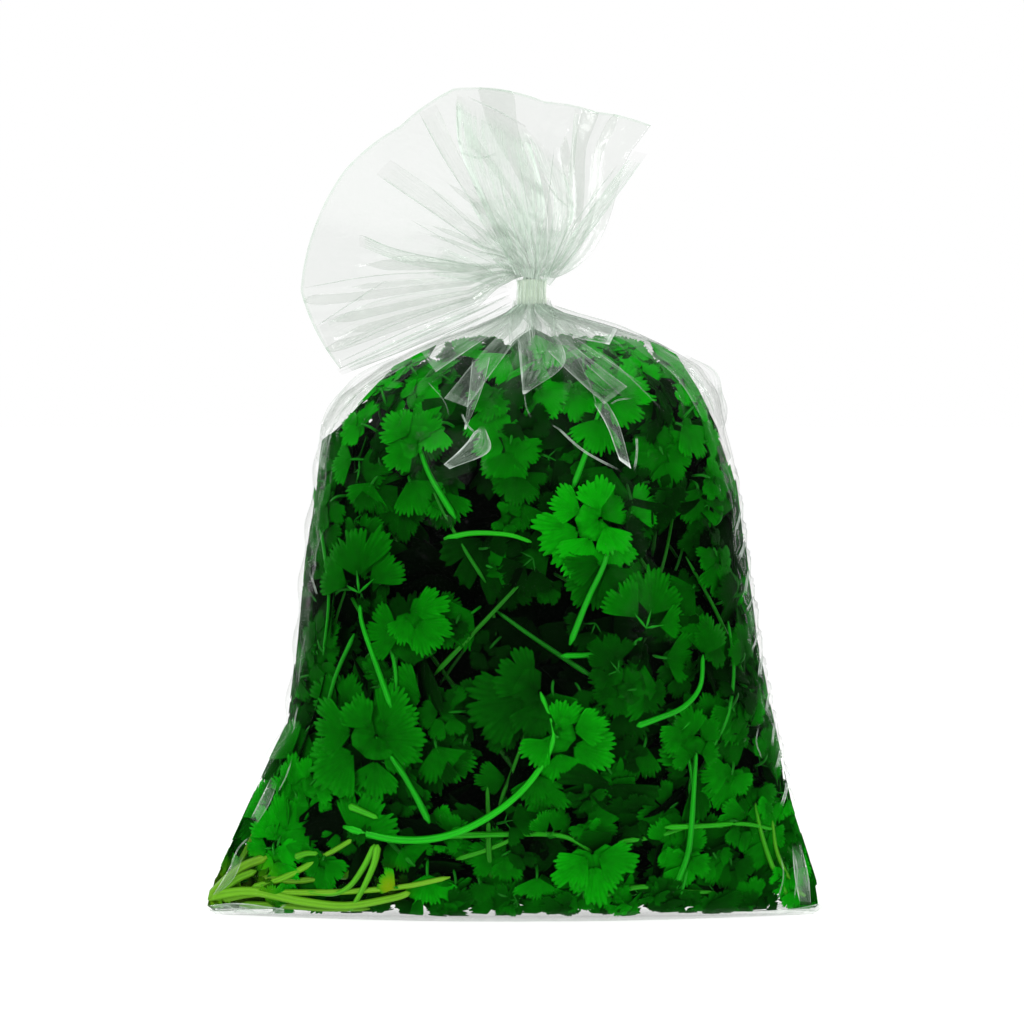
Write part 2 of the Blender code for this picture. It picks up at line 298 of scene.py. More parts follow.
def addStem(pile, route, radius, tone, ripe=0.0, sides=None, tipShare=None, clearance=0.8):
    # a ridged tube that thins towards its tip, with closed rounded ends
    sides = sides or stemShape["sides"]
    along = np.gradient(route, axis=0)
    along /= np.linalg.norm(along, axis=1)[:, None] + 1e-9
    reference = np.array((0.13, 0.97, 0.2))
    first = np.cross(along, reference)
    first /= np.linalg.norm(first, axis=1)[:, None] + 1e-9
    second = np.cross(along, first)
    turn = 2 * np.pi * np.arange(sides) / sides
    share = np.linspace(0, 1, len(route))
    radii = radius * mix(1.0, tipShare or stemShape["tipShare"], share)
    radii[[0, -1]] *= 0.35
    ridge = 1 + stemShape["ridgeHeight"] * np.cos(stemShape["ridges"] * turn)
    circle = (first[:, None, :] * (np.cos(turn) * ridge)[None, :, None]
              + second[:, None, :] * (np.sin(turn) * ridge)[None, :, None])
    points = (route[:, None, :] + circle * radii[:, None, None]).reshape(-1, 3)
    count = len(points)
    points = keepInside(np.vstack((points, route[0], route[-1])), clearance)
    faces = gridFaces(len(route), sides, closed=True)
    last = (len(route) - 1) * sides
    for n in range(sides):
        faces.append((count, (n + 1) % sides, n, n))
        faces.append((count + 1, last + n, last + (n + 1) % sides, last + (n + 1) % sides))
    vein = np.append(np.tile((np.arange(sides) % 2).astype(float), len(route)), (0.5, 0.5))
    addToPile(pile, points, faces, tone=tone, vein=vein, ripe=ripe)


# Leaflets: teeth round the rim, half angle of the fan, lobes and how deep the cuts between them go
leafKinds = {
    "fan": {"teeth": 17, "spread": 60, "lobes": 3, "cut": 0.24, "side": 0.10},
    "broad": {"teeth": 27, "spread": 96, "lobes": 3, "cut": 0.60, "side": 0.08},
    "split": {"teeth": 33, "spread": 112, "lobes": 5, "cut": 0.52, "side": 0.22},
    "wedge": {"teeth": 12, "spread": 44, "lobes": 2, "cut": 0.26, "side": 0.06},
    "lobe": {"teeth": 14, "spread": 56, "lobes": 3, "cut": 0.22, "side": 0.20},
    "sideLobe": {"teeth": 11, "spread": 52, "lobes": 2, "cut": 0.20, "side": 0.16},
    "web": {"teeth": 7, "spread": 118, "lobes": 1, "cut": 0.10, "side": 0.10},
}
# Big leaves are several lobes on a small web: degrees, length and start of each as shares, kind
leafParts = {
    "broad": [(0, 0.70, 0.30, "lobe"), (62, 0.60, 0.19, "lobe"), (-62, 0.60, 0.19, "lobe")],
    "split": [(0, 0.60, 0.40, "lobe"), (45, 0.52, 0.36, "lobe"), (-45, 0.52, 0.36, "lobe"),
              (98, 0.46, 0.20, "sideLobe"), (-98, 0.46, 0.20, "sideLobe")],
    "trio": [(0, 0.72, 0.30, "fan"), (59, 0.54, 0.30, "wedge"), (-59, 0.54, 0.30, "wedge")],
}
leafShape = {
    "toothDepth": 0.085, "petal": 4.5, "inner": 0.11, "droop": 0.20, "cup": 0.12, "wave": 0.07,
    "corrugation": 0.006, "thickness": 0.22, "rows": (0.07, 0.34, 0.60, 0.80, 1.0), "contrast": 2.1,
    "web": 0.34,
}
bladeCells = {}
# The herb is paler at the top and the bottom of the bag: height, how bright
toneGain = np.array([(0, 1.7), (40, 1.45), (60, 1.08), (90, 0.9), (140, 0.85),
                     (165, 1.35), (185, 2.0), (205, 2.5)])


def leafRim(share, shape, form, rng):
    # the smooth outline of a leaflet: lobes that bulge, with a narrow cut between each two
    skewed = share + 0.05 * np.sin(math.pi * share * 1.5 + rng.uniform(0, 6.28)) * (1 - share**2)
    place = (skewed + 1) / 2 * shape["lobes"]
    number = np.clip(np.floor(place), 0, shape["lobes"] - 1).astype(int)
    lobe = place - number
    sizes = np.array([rng.uniform(0.84, 1.04) for _ in range(shape["lobes"])])
    cut = shape["cut"] * rng.uniform(0.8, 1.15)
    small = (lobe * 3) % 1
    rim = sizes[number] * (1 - shape["side"] * np.abs(share) ** 1.8)
    rim = rim * (1 - cut * np.abs(2 * lobe - 1) ** form["petal"])
    return rim * (1 - form["inner"] * np.abs(2 * small - 1) ** 5)


def addBlade(pile, place, along, outward, length, kind, tone, rng, rows=None, bend=1.0, clearance=1.2):
    shape, form = leafKinds[kind], leafShape
    rows = np.array(rows or form["rows"])
    teeth = shape["teeth"] if len(rows) > 4 else int(shape["teeth"] * 0.6)
    columns = 3 * teeth + 1
    number = np.arange(columns)
    tip = number % 3 != 0
    share = np.linspace(-1, 1, columns)
    angle = np.radians(shape["spread"]) * share
    rim = leafRim(share, shape, form, rng)
    jitter = np.repeat([rng.uniform(0.95, 1.04) for _ in range(teeth + 1)], 3)[:columns]
    notches = [rng.uniform(0.7, 1.6) for _ in range(teeth + 1)]
    notches = np.repeat(notches, 3)[:columns] * form["toothDepth"]
    edge = rim * np.where(tip, jitter, 1 - notches)
    reach = rows[:, None] * (rim * (1 - form["toothDepth"]))[None, :]
    reach[-1] = edge
    across = reach * np.sin(angle) * length
    forward = reach * np.cos(angle) * length
    phase = rng.uniform(0, 6.28)
    lift = (-form["droop"] * rng.uniform(0.2, 1.4) * bend * reach**2
            + form["cup"] * rng.uniform(-0.6, 1.2) * bend * (reach * np.sin(angle)) ** 2
            + form["wave"] * rng.uniform(0.5, 1.5) * bend * np.sin(3.2 * angle + phase) * reach**2
            + form["corrugation"] * np.where(tip, 1, -1) * reach) * length
    cross = np.cross(along, outward)
    points = (place + across[..., None] * cross + forward[..., None] * along
              + lift[..., None] * outward).reshape(-1, 3)
    points = keepInside(points, clearance)
    key = (len(rows), columns)
    if key not in bladeCells:
        bladeCells[key] = gridFaces(len(rows), columns)
    rib = np.tile(tip.astype(float), (len(rows), 1)) * rows[:, None] ** 0.5
    fringe = np.zeros((len(rows), columns))
    fringe[-1] = np.where(tip, 1.0, 0.2)
    # painted shade comes in with tone; each blade is also made darker towards its base
    gain = float(np.interp(place[2], toneGain[:, 0], toneGain[:, 1]))
    shade = gain * tone ** form["contrast"] * (0.72 + 0.40 * rows[:, None]) * np.ones((1, columns))
    fanwise = np.tile(share * shape["teeth"] * 1.4 + rng.uniform(0, 90), (len(rows), 1))
    outwise = np.tile(rows[:, None], (1, columns))
    # leaves turn yellow in the low left corner
    ripe = 0.55 * smoothStep((24 - points[:, 2]) / 14) * smoothStep((-78 - points[:, 0]) / 16)
    ripe += 0.9 * np.exp(-((points[:, 0] + 43) ** 2 + (points[:, 2] - 12) ** 2) / 20) * (points[:, 1] < 0)
    addToPile(pile, points, bladeCells[key], ripe=np.clip(ripe, 0, 1), tone=shade.ravel(),
              vein=rib.ravel(), edge=fringe.ravel(), fanwise=fanwise.ravel(), outwise=outwise.ravel())


def unit(vector):
    return vector / (np.linalg.norm(vector) + 1e-12)


def turnedBy(along, outward, degrees):
    angle = math.radians(degrees)
    return along * math.cos(angle) + np.cross(outward, along) * math.sin(angle)


def addLeaf(leaves, stalks, place, along, outward, length, kind, tone, rng, rows=None, clearance=1.2,
            stalk=None, bend=1.0):
    # a whole leaf; the ones in leafParts are put together from lobes, the others are one blade
    if kind in leafParts and rows is None:
        heart = place
        if kind == "trio":
            heart = place + along * length * 0.16
        else:
            addBlade(leaves, place - outward * 0.5, along, outward, length * leafShape["web"], "web",
                     tone * 0.9, rng, (0.1, 0.6, 1.0), bend, clearance + 0.5)
        for degrees, share, start, part in leafParts[kind]:
            way = turnedBy(along, outward, degrees + rng.uniform(-7, 7))
            way = unit(way + outward * rng.uniform(-0.14, 0.10))
            face = unit(outward - way * float(np.dot(outward, way)))
            root = heart + way * length * (start - 0.10)
            addBlade(leaves, root, way, face, length * share * rng.uniform(0.88, 1.08), part,
                     tone * rng.uniform(0.92, 1.08), rng, rows, bend, clearance)
            if kind == "trio":
                addStem(stalks, np.array([heart, (heart + root) / 2, root + way * length * 0.08]),
                        0.024 * length, tone * 0.8, sides=6, clearance=clearance)
        foot = heart + along * length * 0.08
    else:
        kind = "fan" if kind == "trio" else kind
        addBlade(leaves, place, along, outward, length, kind, tone, rng, rows, bend, clearance)
        foot = place + along * length * 0.12
    size = length * 0.45 if stalk is None else stalk
    if size > 0:
        bow = np.array([foot, foot - along * size * 0.45 - outward * size * 0.22,
                        foot - along * size * 0.7 - outward * size * 0.8])
        addStem(stalks, smoothRoute(bow, 3), 0.34 + 0.008 * length, tone * 0.55, sides=6, tipShare=1.2,
                clearance=clearance)


def surfaceBasis(turn, height, inset):
    here = shellPoint(turn, height, inset)
    around = unit(shellPoint(turn + 0.02, height, inset) - shellPoint(turn - 0.02, height, inset))
    up = unit(shellPoint(turn, height + 1.5, inset) - shellPoint(turn, height - 1.5, inset))
    outward = unit(np.cross(around, up))
    return here, around, unit(np.cross(outward, around)), outward


def turnAt(x, height, side):
    left, right, _, _ = ringAt(height)
    cosine = np.clip(((left + right) / 2 - x) / ((right - left) / 2), -0.995, 0.995)
    turn = math.acos(float(cosine))
    return turn if side < 0 else 2 * math.pi - turn


def placedLeaf(leaves, stalks, x, height, side, depth, degrees, length, kind, tone, rng, stalk=None,
               tilt=0.16):
    # a leaf that starts at (x, height) behind the film of one side and points this way, seen from that side
    here, around, up, outward = surfaceBasis(turnAt(x, height, side), height, depth)
    here[1] = side * max(float(filmDepth(x, height)) - depth, 0.3)
    here[0] = x
    angle = math.radians(degrees)
    rightward = around if side < 0 else -around
    along = rightward * math.cos(angle) + up * math.sin(angle)
    along = unit(along + outward * rng.uniform(-tilt, tilt * 0.6))
    face = outward + np.cross(outward, along) * rng.uniform(-tilt, tilt)
    face = unit(face - along * float(np.dot(face, along)))
    addLeaf(leaves, stalks, here, along, face, length, kind, tone, rng, stalk=stalk,
            clearance=max(1.0, depth * 0.4))


# The sprigs that show best. stem is a route of (x, height); a leaf is (route point, degrees, length)
sprigs = [
    {"stem": [(-59, 33), (-40, 29), (-22, 31), (-5, 40), (7.5, 52.5), (13.5, 66.5), (9, 81)],
     "radius": 1.4, "depth": 4, "leaves": [(5, -35, 27), (6, 205, 31), (4, -85, 14)], "bothSides": True},
    {"stem": [(-29, 30), (-5, 31), (16, 30.5), (27, 24.5)],
     "radius": 1.1, "depth": 10.5, "leaves": [(3, -80, 24)]},
    {"stem": [(42, 69), (48, 71), (58, 75), (64, 82), (65, 93)],
     "radius": 1.1, "depth": 4.5, "leaves": [(4, 75, 15)]},
    {"stem": [(55, 10), (60, 23), (61.5, 37), (62.3, 51), (62.7, 59)],
     "radius": 1.1, "depth": 5, "leaves": [(4, 100, 20), (1, -100, 18)], "bothSides": True},
    {"stem": [(19, 97), (25, 112), (31, 125), (31.5, 133), (29.5, 140)],
     "radius": 1.1, "depth": 4, "leaves": [(4, 200, 28), (3, -75, 15), (4, 45, 13), (2, 240, 22)],
     "bothSides": True},
    {"stem": [(-42, 75), (-47, 89), (-52, 103), (-53, 110)],
     "radius": 1.0, "depth": 5, "leaves": [(3, 95, 27)]},
    {"stem": [(-43, 79), (-41, 89), (-39, 100), (-36, 108)],
     "radius": 1.0, "depth": 13, "leaves": [(3, -45, 22), (2, 175, 16)], "bothSides": True},
    {"stem": [(-29, 35), (-35, 47), (-42, 58), (-47.5, 65)],
     "radius": 1.2, "depth": 9, "leaves": [(3, 220, 34), (3, 55, 26)], "bothSides": True},
    {"stem": [(16, 93), (27, 93.5), (39, 96), (44, 99)],
     "radius": 1.0, "depth": 14, "leaves": [(3, 70, 24)], "bothSides": True},
    {"stem": [(-103, 5), (-89, 8), (-64, 9.5), (-40, 12), (-22, 16)],
     "radius": 1.3, "depth": 7, "leaves": []},
    {"stem": [(-92, 9.5), (-80, 14), (-66, 22), (-55, 29)],
     "radius": 1.3, "depth": 10, "leaves": [(2, 250, 17), (3, 60, 20)]},
    {"stem": [(-60, 14), (-53, 19), (-48, 27), (-45, 37)],
     "radius": 1.2, "depth": 14, "leaves": []},
    {"stem": [(20, 150), (26, 166), (31, 182)],
     "radius": 1.1, "depth": 6, "leaves": [(2, 20, 23)], "bothSides": True},
    {"stem": [(-20, 140), (-29, 155), (-33, 166)],
     "radius": 1.1, "depth": 6, "leaves": [(2, 150, 22)]},
]
# Kinds and tones of their leaves, sprig by sprig
sprigLooks = {
    1: [("split", 0.80), ("broad", 0.42), ("fan", 0.55)], 2: [("broad", 0.72)], 3: [("fan", 0.62)],
    4: [("split", 0.66), ("broad", 0.66)],
    5: [("split", 1.0), ("fan", 0.92), ("fan", 0.85), ("broad", 0.5)], 6: [("trio", 0.62)],
    7: [("broad", 0.74), ("fan", 0.66)], 8: [("split", 0.62), ("broad", 0.62)], 9: [("trio", 0.7)],
    11: [("broad", 0.55), ("fan", 0.55)], 13: [("broad", 0.66)], 14: [("broad", 0.64)],
}
overLeaves = (1, 3, 4, 6, 8, 10, 11)  # sprigs whose stem lies over the leaves
# Tone and ripeness of the stems that differ from the rest
stemLooks = {1: (0.95, 0.02), 2: (0.7, 0.1), 10: (1.1, 0.9), 11: (1.0, 0.75), 12: (1.0, 0.55)}


def makeSprig(number, sprig, side):
    label = f"{number:02d}{'Front' if side < 0 else 'Back'}"
    node = f"{number:02d}_{'front' if side < 0 else 'back'}"
    rng = random.Random(100 * number + side)
    leaves, stalks = newPile(), newPile()
    route = sprig["stem"]
    if side > 0:
        route = [(mirrored(x, z), z) for x, z in route]
    behind = sprig["depth"] * (0.15 if number in overLeaves else 0.5) + sprig["radius"] + 1.2
    line = [(x, side * max(float(filmDepth(x, z)) - behind, 0.0), z) for x, z in route]
    tone, ripe = stemLooks.get(number, (0.72, 0.0))
    addStem(stalks, smoothRoute(line, stemShape["steps"]), sprig["radius"], tone, ripe)
    for order, (point, degrees, length) in enumerate(sprig["leaves"]):
        kind, leafTone = sprigLooks[number][order]
        x, z = route[point]
        degrees = degrees if side < 0 else 180 - degrees
        placedLeaf(leaves, stalks, x, z, side, 2 + 0.9 * order, degrees, length, kind, leafTone,
                   rng, stalk=0 if point == len(route) - 1 else 2.5, tilt=0.1)
    pileObject(f"sprig{label}Stem", stalks, stemGreen, [f"stem_{node}"])
    if leaves["points"]:
        replaced = [f"leaf_{node}_{'abcd'[n]}" for n in range(len(sprig["leaves"]))]
        pileObject(f"sprig{label}Leaves", leaves, leafGreen, replaced, leafShape["thickness"])


for number, sprig in enumerate(sprigs, start=1):
    makeSprig(number, sprig, -1)
    if sprig.get("bothSides"):
        makeSprig(number, sprig, 1)
print("sprigs made")

# More leaves of the front, listed one by one: x, height, degrees, length, kind, depth, tone
# the last column holds painted shade too: leaves set deeper are given lower tones
frontLeaves = [
    (-26, 173, 200, 20, "broad", 4, 0.66), (-49, 152, 245, 15, "fan", 5, 0.58),
    (-36, 153, 300, 14, "fan", 5, 0.6), (-24, 149, 285, 13, "fan", 7, 0.6),
    (-1, 167, 262, 21, "broad", 5, 0.62), (20, 186, 280, 18, "broad", 5, 0.6),
    (51, 163, 280, 18, "broad", 5, 0.6), (64, 150, 250, 16, "fan", 5, 0.55),
    (70, 128, 268, 18, "broad", 4, 0.58), (33, 53, 305, 15, "broad", 6, 0.62),
    (61, 73, 270, 18, "trio", 4, 0.72), (76, 52, 250, 19, "broad", 4, 0.66),
    (-30, 17, 272, 15, "fan", 4, 0.72), (8, 16, 265, 12, "fan", 5, 0.62), (-41, 65, 12, 10, "fan", 9, 0.95),
    (-27, 62, 292, 16, "fan", 6, 0.6), (10, 50, 268, 14, "fan", 6, 0.58),
    (44, 189, 98, 13, "broad", 4, 0.72), (38, 190, 150, 12, "fan", 5, 0.66),
    (50, 188, 60, 12, "fan", 5, 0.7), (-5, 184, 250, 18, "broad", 6, 0.52),
    (-25, 189, 165, 18, "broad", 5, 0.58), (-30, 186, 110, 12, "fan", 6, 0.55),
    (52, 92, 0, 13, "fan", 5, 0.6), (76, 74, 282, 16, "broad", 4, 0.6), (-68, 96, 100, 18, "broad", 4, 0.5),
    (-66, 136, 262, 18, "broad", 4, 0.52), (25, 33, 25, 14, "fan", 8, 0.5),
    (55, 40, 205, 17, "broad", 8, 0.48), (-3, 24, 200, 18, "broad", 7, 0.5),
    (88, 31, 268, 18, "broad", 4, 0.6), (-80, 40, 215, 20, "broad", 6, 0.5),
    (12, 128, 200, 14, "fan", 9, 0.45), (40, 142, 20, 12, "fan", 5, 0.85),
    (36, 126, -20, 12, "fan", 8, 0.7), (-52, 128, 100, 14, "trio", 5, 0.56),
    (-14, 108, 215, 15, "fan", 7, 0.66), (-58, 74, 150, 20, "broad", 6, 0.56),
    (-40, 84, 220, 16, "broad", 8, 0.5), (0, 72, 240, 16, "broad", 9, 0.36),
    (45, 62, 250, 14, "fan", 6, 0.55), (38, 82, 200, 13, "fan", 8, 0.45),
    (70, 100, 255, 17, "broad", 4, 0.52), (62, 116, 210, 13, "fan", 6, 0.55),
    (-60, 55, 170, 18, "broad", 6, 0.55), (-72, 66, 240, 16, "fan", 5, 0.5),
    (22, 12, 250, 11, "fan", 6, 0.5), (70, 22, 300, 15, "broad", 5, 0.55),
    (-12, 14, 280, 11, "fan", 7, 0.45), (80, 62, 200, 12, "fan", 5, 0.5),
    (-84, 23, 285, 17, "broad", 3, 0.78), (-86, 24, 185, 11, "fan", 3, 0.7),
    (-82, 27, 62, 20, "broad", 3, 0.72), (-90, 34, 120, 15, "fan", 4, 0.72),
    (-96, 20, 215, 13, "fan", 4, 0.8), (-76, 43, 95, 17, "broad", 4, 0.66),
    (-41, 12, 150, 8, "fan", 2, 0.95), (-70, 48, 230, 18, "split", 4, 0.68),
    (96, 16, 265, 13, "broad", 3, 0.7), (90, 40, 255, 13, "broad", 3, 0.66),
    (40, 197, 60, 13, "broad", 3, 0.8), (50, 195, 20, 12, "fan", 3, 0.8),
    (33, 199, 110, 12, "broad", 3, 0.75), (-36, 192, 140, 14, "broad", 3, 0.7),
    (-20, 196, 60, 13, "fan", 3, 0.62), (14, 200, 250, 15, "broad", 4, 0.7),
    (57, 186, 10, 13, "broad", 3, 0.7), (-52, 172, 170, 15, "broad", 3, 0.66),
    (-2, 196, 230, 14, "fan", 4, 0.7), (58, 172, 300, 14, "fan", 4, 0.6), (8, 184, 300, 15, "fan", 4, 0.6),
    (62, 178, 40, 14, "broad", 3, 0.75), (66, 166, 10, 13, "fan", 3, 0.7),
    (67, 154, 330, 14, "broad", 3, 0.62), (72, 140, 80, 12, "fan", 3, 0.55),
    (74, 112, 60, 13, "fan", 3, 0.55), (80, 92, 100, 13, "broad", 3, 0.52),
    (82, 80, 300, 12, "fan", 3, 0.5), (88, 56, 70, 13, "broad", 3, 0.58),
    (-46, 184, 130, 14, "broad", 3, 0.75), (-56, 160, 190, 13, "fan", 3, 0.62),
    (-63, 146, 230, 14, "broad", 3, 0.55), (-70, 112, 120, 13, "fan", 3, 0.5),
    (-74, 84, 200, 14, "broad", 3, 0.5), (-78, 56, 130, 14, "fan", 3, 0.6),
    (98, 10, 320, 12, "broad", 3, 0.75), (24, 196, 80, 13, "broad", 3, 0.8),
    (-10, 178, 280, 14, "fan", 4, 0.6), (30, 174, 250, 14, "fan", 4, 0.62),
    (91, 22, 255, 14, "broad", 7, 0.55), (-47, 178, 100, 15, "broad", 9, 0.4),
    (61, 190, 200, 14, "broad", 8, 0.4),
]

# Darker hollows of the front where the outer leaves stand apart and the deeper leaves, painted darker as
# shade, show: x, height, radius
hollows = [
    (-12, 143, 13), (-24, 120, 15), (-8, 108, 13), (6, 86, 12), (-4, 62, 10), (30, 112, 12), (14, 100, 11),
    (52, 128, 9), (-62, 118, 7), (-22, 88, 10), (46, 50, 8),
]


def makeFrontLeaves():
    for side, name in ((-1, "front"), (1, "back")):
        rng = random.Random(7)
        leaves, stalks = newPile(), newPile()
        for x, z, degrees, length, kind, depth, tone in frontLeaves:
            if side > 0:
                x, degrees = mirrored(x, z), 180 - degrees
            placedLeaf(leaves, stalks, x, z, side, depth, degrees, length, kind, tone, rng)
        pileObject(f"{name}Leaves", leaves, leafGreen, thickness=leafShape["thickness"])
        pileObject(f"{name}LeafStalks", stalks, stemGreen)


makeFrontLeaves()
print("front leaves made")

# The rest of the herb fills the bag in layers. Each layer: leaves, inset from the film, sizes, tones; the
# tones hold painted shade, lower for the deeper layers and near black within
fillLook = {
    "seed": 11,
    "layers": [
        {"name": "outer", "count": 540, "inset": (4.5, 9), "length": (8, 19), "tone": (0.20, 0.66),
         "height": (5, 203), "below": 4, "tilt": 0.42, "spacing": 8, "sectors": 12, "rows": None},
        {"name": "low", "count": 90, "inset": (3, 8), "length": (10, 16), "tone": (0.30, 0.62),
         "height": (2, 9), "below": 4, "tilt": 0.3, "spacing": 6, "sectors": 4, "rows": None},
        {"name": "side", "count": 190, "inset": (3, 9), "length": (9, 17), "tone": (0.32, 0.80),
         "height": (5, 190), "below": 3, "tilt": 0.4, "spacing": 5, "sectors": 4, "rows": None},
        {"name": "middle", "count": 340, "inset": (9, 16), "length": (13, 23), "tone": (0.05, 0.32),
         "height": (5, 190), "below": 12, "tilt": 0.6, "spacing": 9, "sectors": 6,
         "rows": (0.07, 0.5, 0.85, 1.0)},
        {"name": "inner", "count": 330, "inset": (16, 34), "length": (20, 30), "tone": (0.0, 0.05),
         "height": (5, 185), "below": 17, "tilt": 0.7, "spacing": 9, "sectors": 4, "rows": (0.07, 0.6, 1.0)},
        {"name": "core", "count": 110, "inset": (9, 28), "length": (16, 26), "tone": (0.0, 0.12),
         "height": (7, 36), "below": 17, "tilt": 0.7, "spacing": 6, "sectors": 2, "rows": (0.07, 0.6, 1.0)},
    ],
    "kinds": ("fan", "broad", "broad", "split", "trio", "fan", "wedge"),
}


def makeFill(look):
    rng = random.Random(look["seed"])
    for layer in look["layers"]:
        taken = np.zeros((0, 3))
        piles = [(newPile(), newPile()) for _ in range(layer["sectors"])]
        made = 0
        for attempt in range(layer["count"] * 6):
            if made == layer["count"]:
                break
            inset = rng.uniform(*layer["inset"])
            height = rng.uniform(*layer["height"])
            turn = rng.uniform(0, 2 * math.pi)
            if layer["name"] == "side":
                turn = rng.choice((0.0, math.pi)) + rng.uniform(-0.30, 0.30)
            here, around, up, outward = surfaceBasis(turn, height, inset)
            if height > np.interp(here[0], heapTop[:, 0], heapTop[:, 1]) - layer["below"]:
                continue
            if layer["below"] > 9 and abs(here[0]) > 76 and height < 60:
                continue  # the flat corners have no room for the deep layers
            if abs(here[0]) > 84 and height < 60 and rng.random() < 0.75:
                continue  # the low corners hold few leaves
            if here[0] < -48 and height < 24 and here[1] < 0 and rng.random() < 0.85:
                continue  # bare stems show at the low left of the front
            front = outward[1] < -0.2
            if front and layer["below"] < 14 and any(
                    math.hypot(here[0] - x, height - z) < radius for x, z, radius in hollows):
                continue
            if len(taken) and np.min(np.linalg.norm(taken - here, axis=1)) < layer["spacing"]:
                if rng.random() < 0.9:
                    continue  # few leaves start close to another
            taken = np.vstack((taken, here))
            angle = math.radians(rng.gauss(-90, 75))
            if layer["name"] == "low":
                angle = math.radians(rng.choice((0, 180)) + rng.gauss(0, 25))
            tilt = layer["tilt"]
            along = unit(around * math.cos(angle) + up * math.sin(angle)
                         + outward * rng.uniform(-tilt, tilt * 0.5))
            face = outward + around * rng.uniform(-tilt, tilt) + up * rng.uniform(-tilt, tilt)
            if layer["name"] == "side":
                # at the side folds the leaves face the front or the back
                face = face * 0.35 + np.array((0, math.copysign(1.0, here[1]), 0))
                sideways = np.cross(face, up)
                along = unit(unit(sideways) * math.cos(angle) + up * math.sin(angle))
            face = unit(face - along * float(np.dot(face, along)))
            length = rng.uniform(*layer["length"])
            tone = mix(*layer["tone"], rng.random() ** 1.3)
            leaves, stalks = piles[int(turn / (2 * math.pi) * layer["sectors"]) % layer["sectors"]]
            addLeaf(leaves, stalks, here - along * length * 0.5, along, face, length,
                    rng.choice(look["kinds"]), tone, rng, rows=layer["rows"],
                    stalk=None if layer["name"] == "outer" and rng.random() < 0.35 else 0,
                    clearance=max(1.3, inset * 0.35), bend=1.3)
            made += 1
        for number, (leaves, stalks) in enumerate(piles, start=1):
            name = f"{layer['name']}{number:02d}"
            if leaves["points"]:
                pileObject(f"{name}Leaves", leaves, leafGreen,
                           thickness=leafShape["thickness"])
                pileObject(f"{name}Stalks", stalks, stemGreen)
        print(f"{layer['name']} layer made: {made} leaves")


makeFill(fillLook)

# Loose stems: routes on the front film, then seeded ones through the whole heap
looseStems = {
    "seed": 23, "count": 90, "radius": (0.6, 1.2),
    "front": [  # route of (x, height), depth, radius, tone, ripe
        ([(-24, 133), (-14, 135), (-2, 134.5), (6, 132)], 9, 1.0, 0.85, 0.05),
        ([(-44, 100), (-41, 90), (-41, 80), (-46, 72)], 8, 0.8, 0.6, 0.0),
        ([(-55, 100), (-62, 84), (-66, 66), (-66, 52)], 6, 0.8, 0.5, 0.0),
        ([(58, 9), (61, 26), (62, 44), (60, 58)], 6, 0.9, 0.62, 0.0),
        ([(52, 33), (66, 33), (80, 33), (92, 30)], 6, 1.0, 0.8, 0.1),
        ([(36, 28), (50, 30), (62, 33), (76, 32)], 9, 0.9, 0.6, 0.1),
        ([(-70, 150), (-66, 130), (-64, 112), (-66, 92)], 5, 0.8, 0.45, 0.0),
        ([(-108, 6), (-92, 8.7), (-74, 6), (-58, 5), (-42, 8.2), (-36, 10.3)], 2, 1.7, 1.05, 0.85),
        ([(-107, 5), (-96, 16), (-86, 21)], 5, 2.2, 0.85, 0.95),
        ([(-105, 5), (-98, 12), (-90, 16)], 3, 1.8, 0.8, 0.8),
        ([(-48, 27), (-52, 19), (-57, 12), (-63, 9), (-72, 9.4)], 4, 1.2, 0.95, 0.5),
        ([(-47, 27), (-48.5, 20), (-53, 10), (-57, 3)], 3, 1.3, 1.0, 0.55),
        ([(-76, 21.5), (-72, 23), (-68, 23.2)], 3, 1.2, 0.8, 0.45),
        ([(-57, 40.5), (-52, 38.5), (-47, 36.5)], 3, 1.3, 0.9, 0.2),
        ([(-96, 3.5), (-80, 4), (-66, 3.5), (-50, 4)], 5, 1.4, 0.8, 0.9),
        ([(-88, 14), (-76, 13), (-64, 15)], 7, 1.4, 0.6, 0.9),
        ([(-64, 3), (-50, 6), (-38, 9)], 6, 1.1, 0.7, 0.7),
        ([(-98, 14), (-92, 26), (-87, 38)], 8, 1.2, 0.55, 0.8),
        ([(-20, 22), (-8, 26), (2, 31), (10, 38)], 12, 0.9, 0.6, 0.2),
        ([(96, 6), (90, 18), (86, 30), (84, 40)], 6, 1.0, 0.75, 0.3),
        ([(104, 5), (98, 10), (92, 22), (90, 34)], 5, 0.9, 0.75, 0.5),
        ([(30, 9), (44, 12), (58, 10), (70, 9)], 8, 1.0, 0.6, 0.15),
        ([(68, 60), (74, 72), (76, 88), (74, 104)], 6, 0.8, 0.5, 0.0),
    ],
}


def makeLooseStems(look):
    stalks = newPile()
    for route, depth, radius, tone, ripe in look["front"]:
        line = [(x, -max(float(filmDepth(x, z)) - depth * 0.55 - 1, 0.0), z) for x, z in route]
        addStem(stalks, smoothRoute(line, stemShape["steps"]), radius, tone, ripe)
    pileObject("looseStemsFront", stalks, stemGreen)
    rng = random.Random(look["seed"])
    groups = [newPile() for _ in range(3)]
    for number in range(look["count"]):
        height, turn = rng.uniform(8, 130), rng.uniform(0, 2 * math.pi)
        inset = rng.uniform(7, 22)
        rise, drift = rng.uniform(8, 26), rng.uniform(-0.22, 0.22)
        line = [shellPoint(turn + drift * n, min(height + rise * n * 0.8, 186), inset + rng.uniform(-3, 3))
                for n in range(4)]
        # painted shade: stems deeper in the heap are given darker tones
        tone = mix(0.4, 0.03, (inset - 7) / 15) * rng.uniform(0.8, 1.2)
        addStem(groups[number % 3], smoothRoute(line, 4), rng.uniform(*look["radius"]), tone,
                rng.uniform(0, 0.15), sides=8, clearance=3)
    for number, group in enumerate(groups, start=1):
        pileObject(f"looseStems{number}", group, stemGreen)
    print("loose stems made:", look["count"] + len(look["front"]))


makeLooseStems(looseStems)

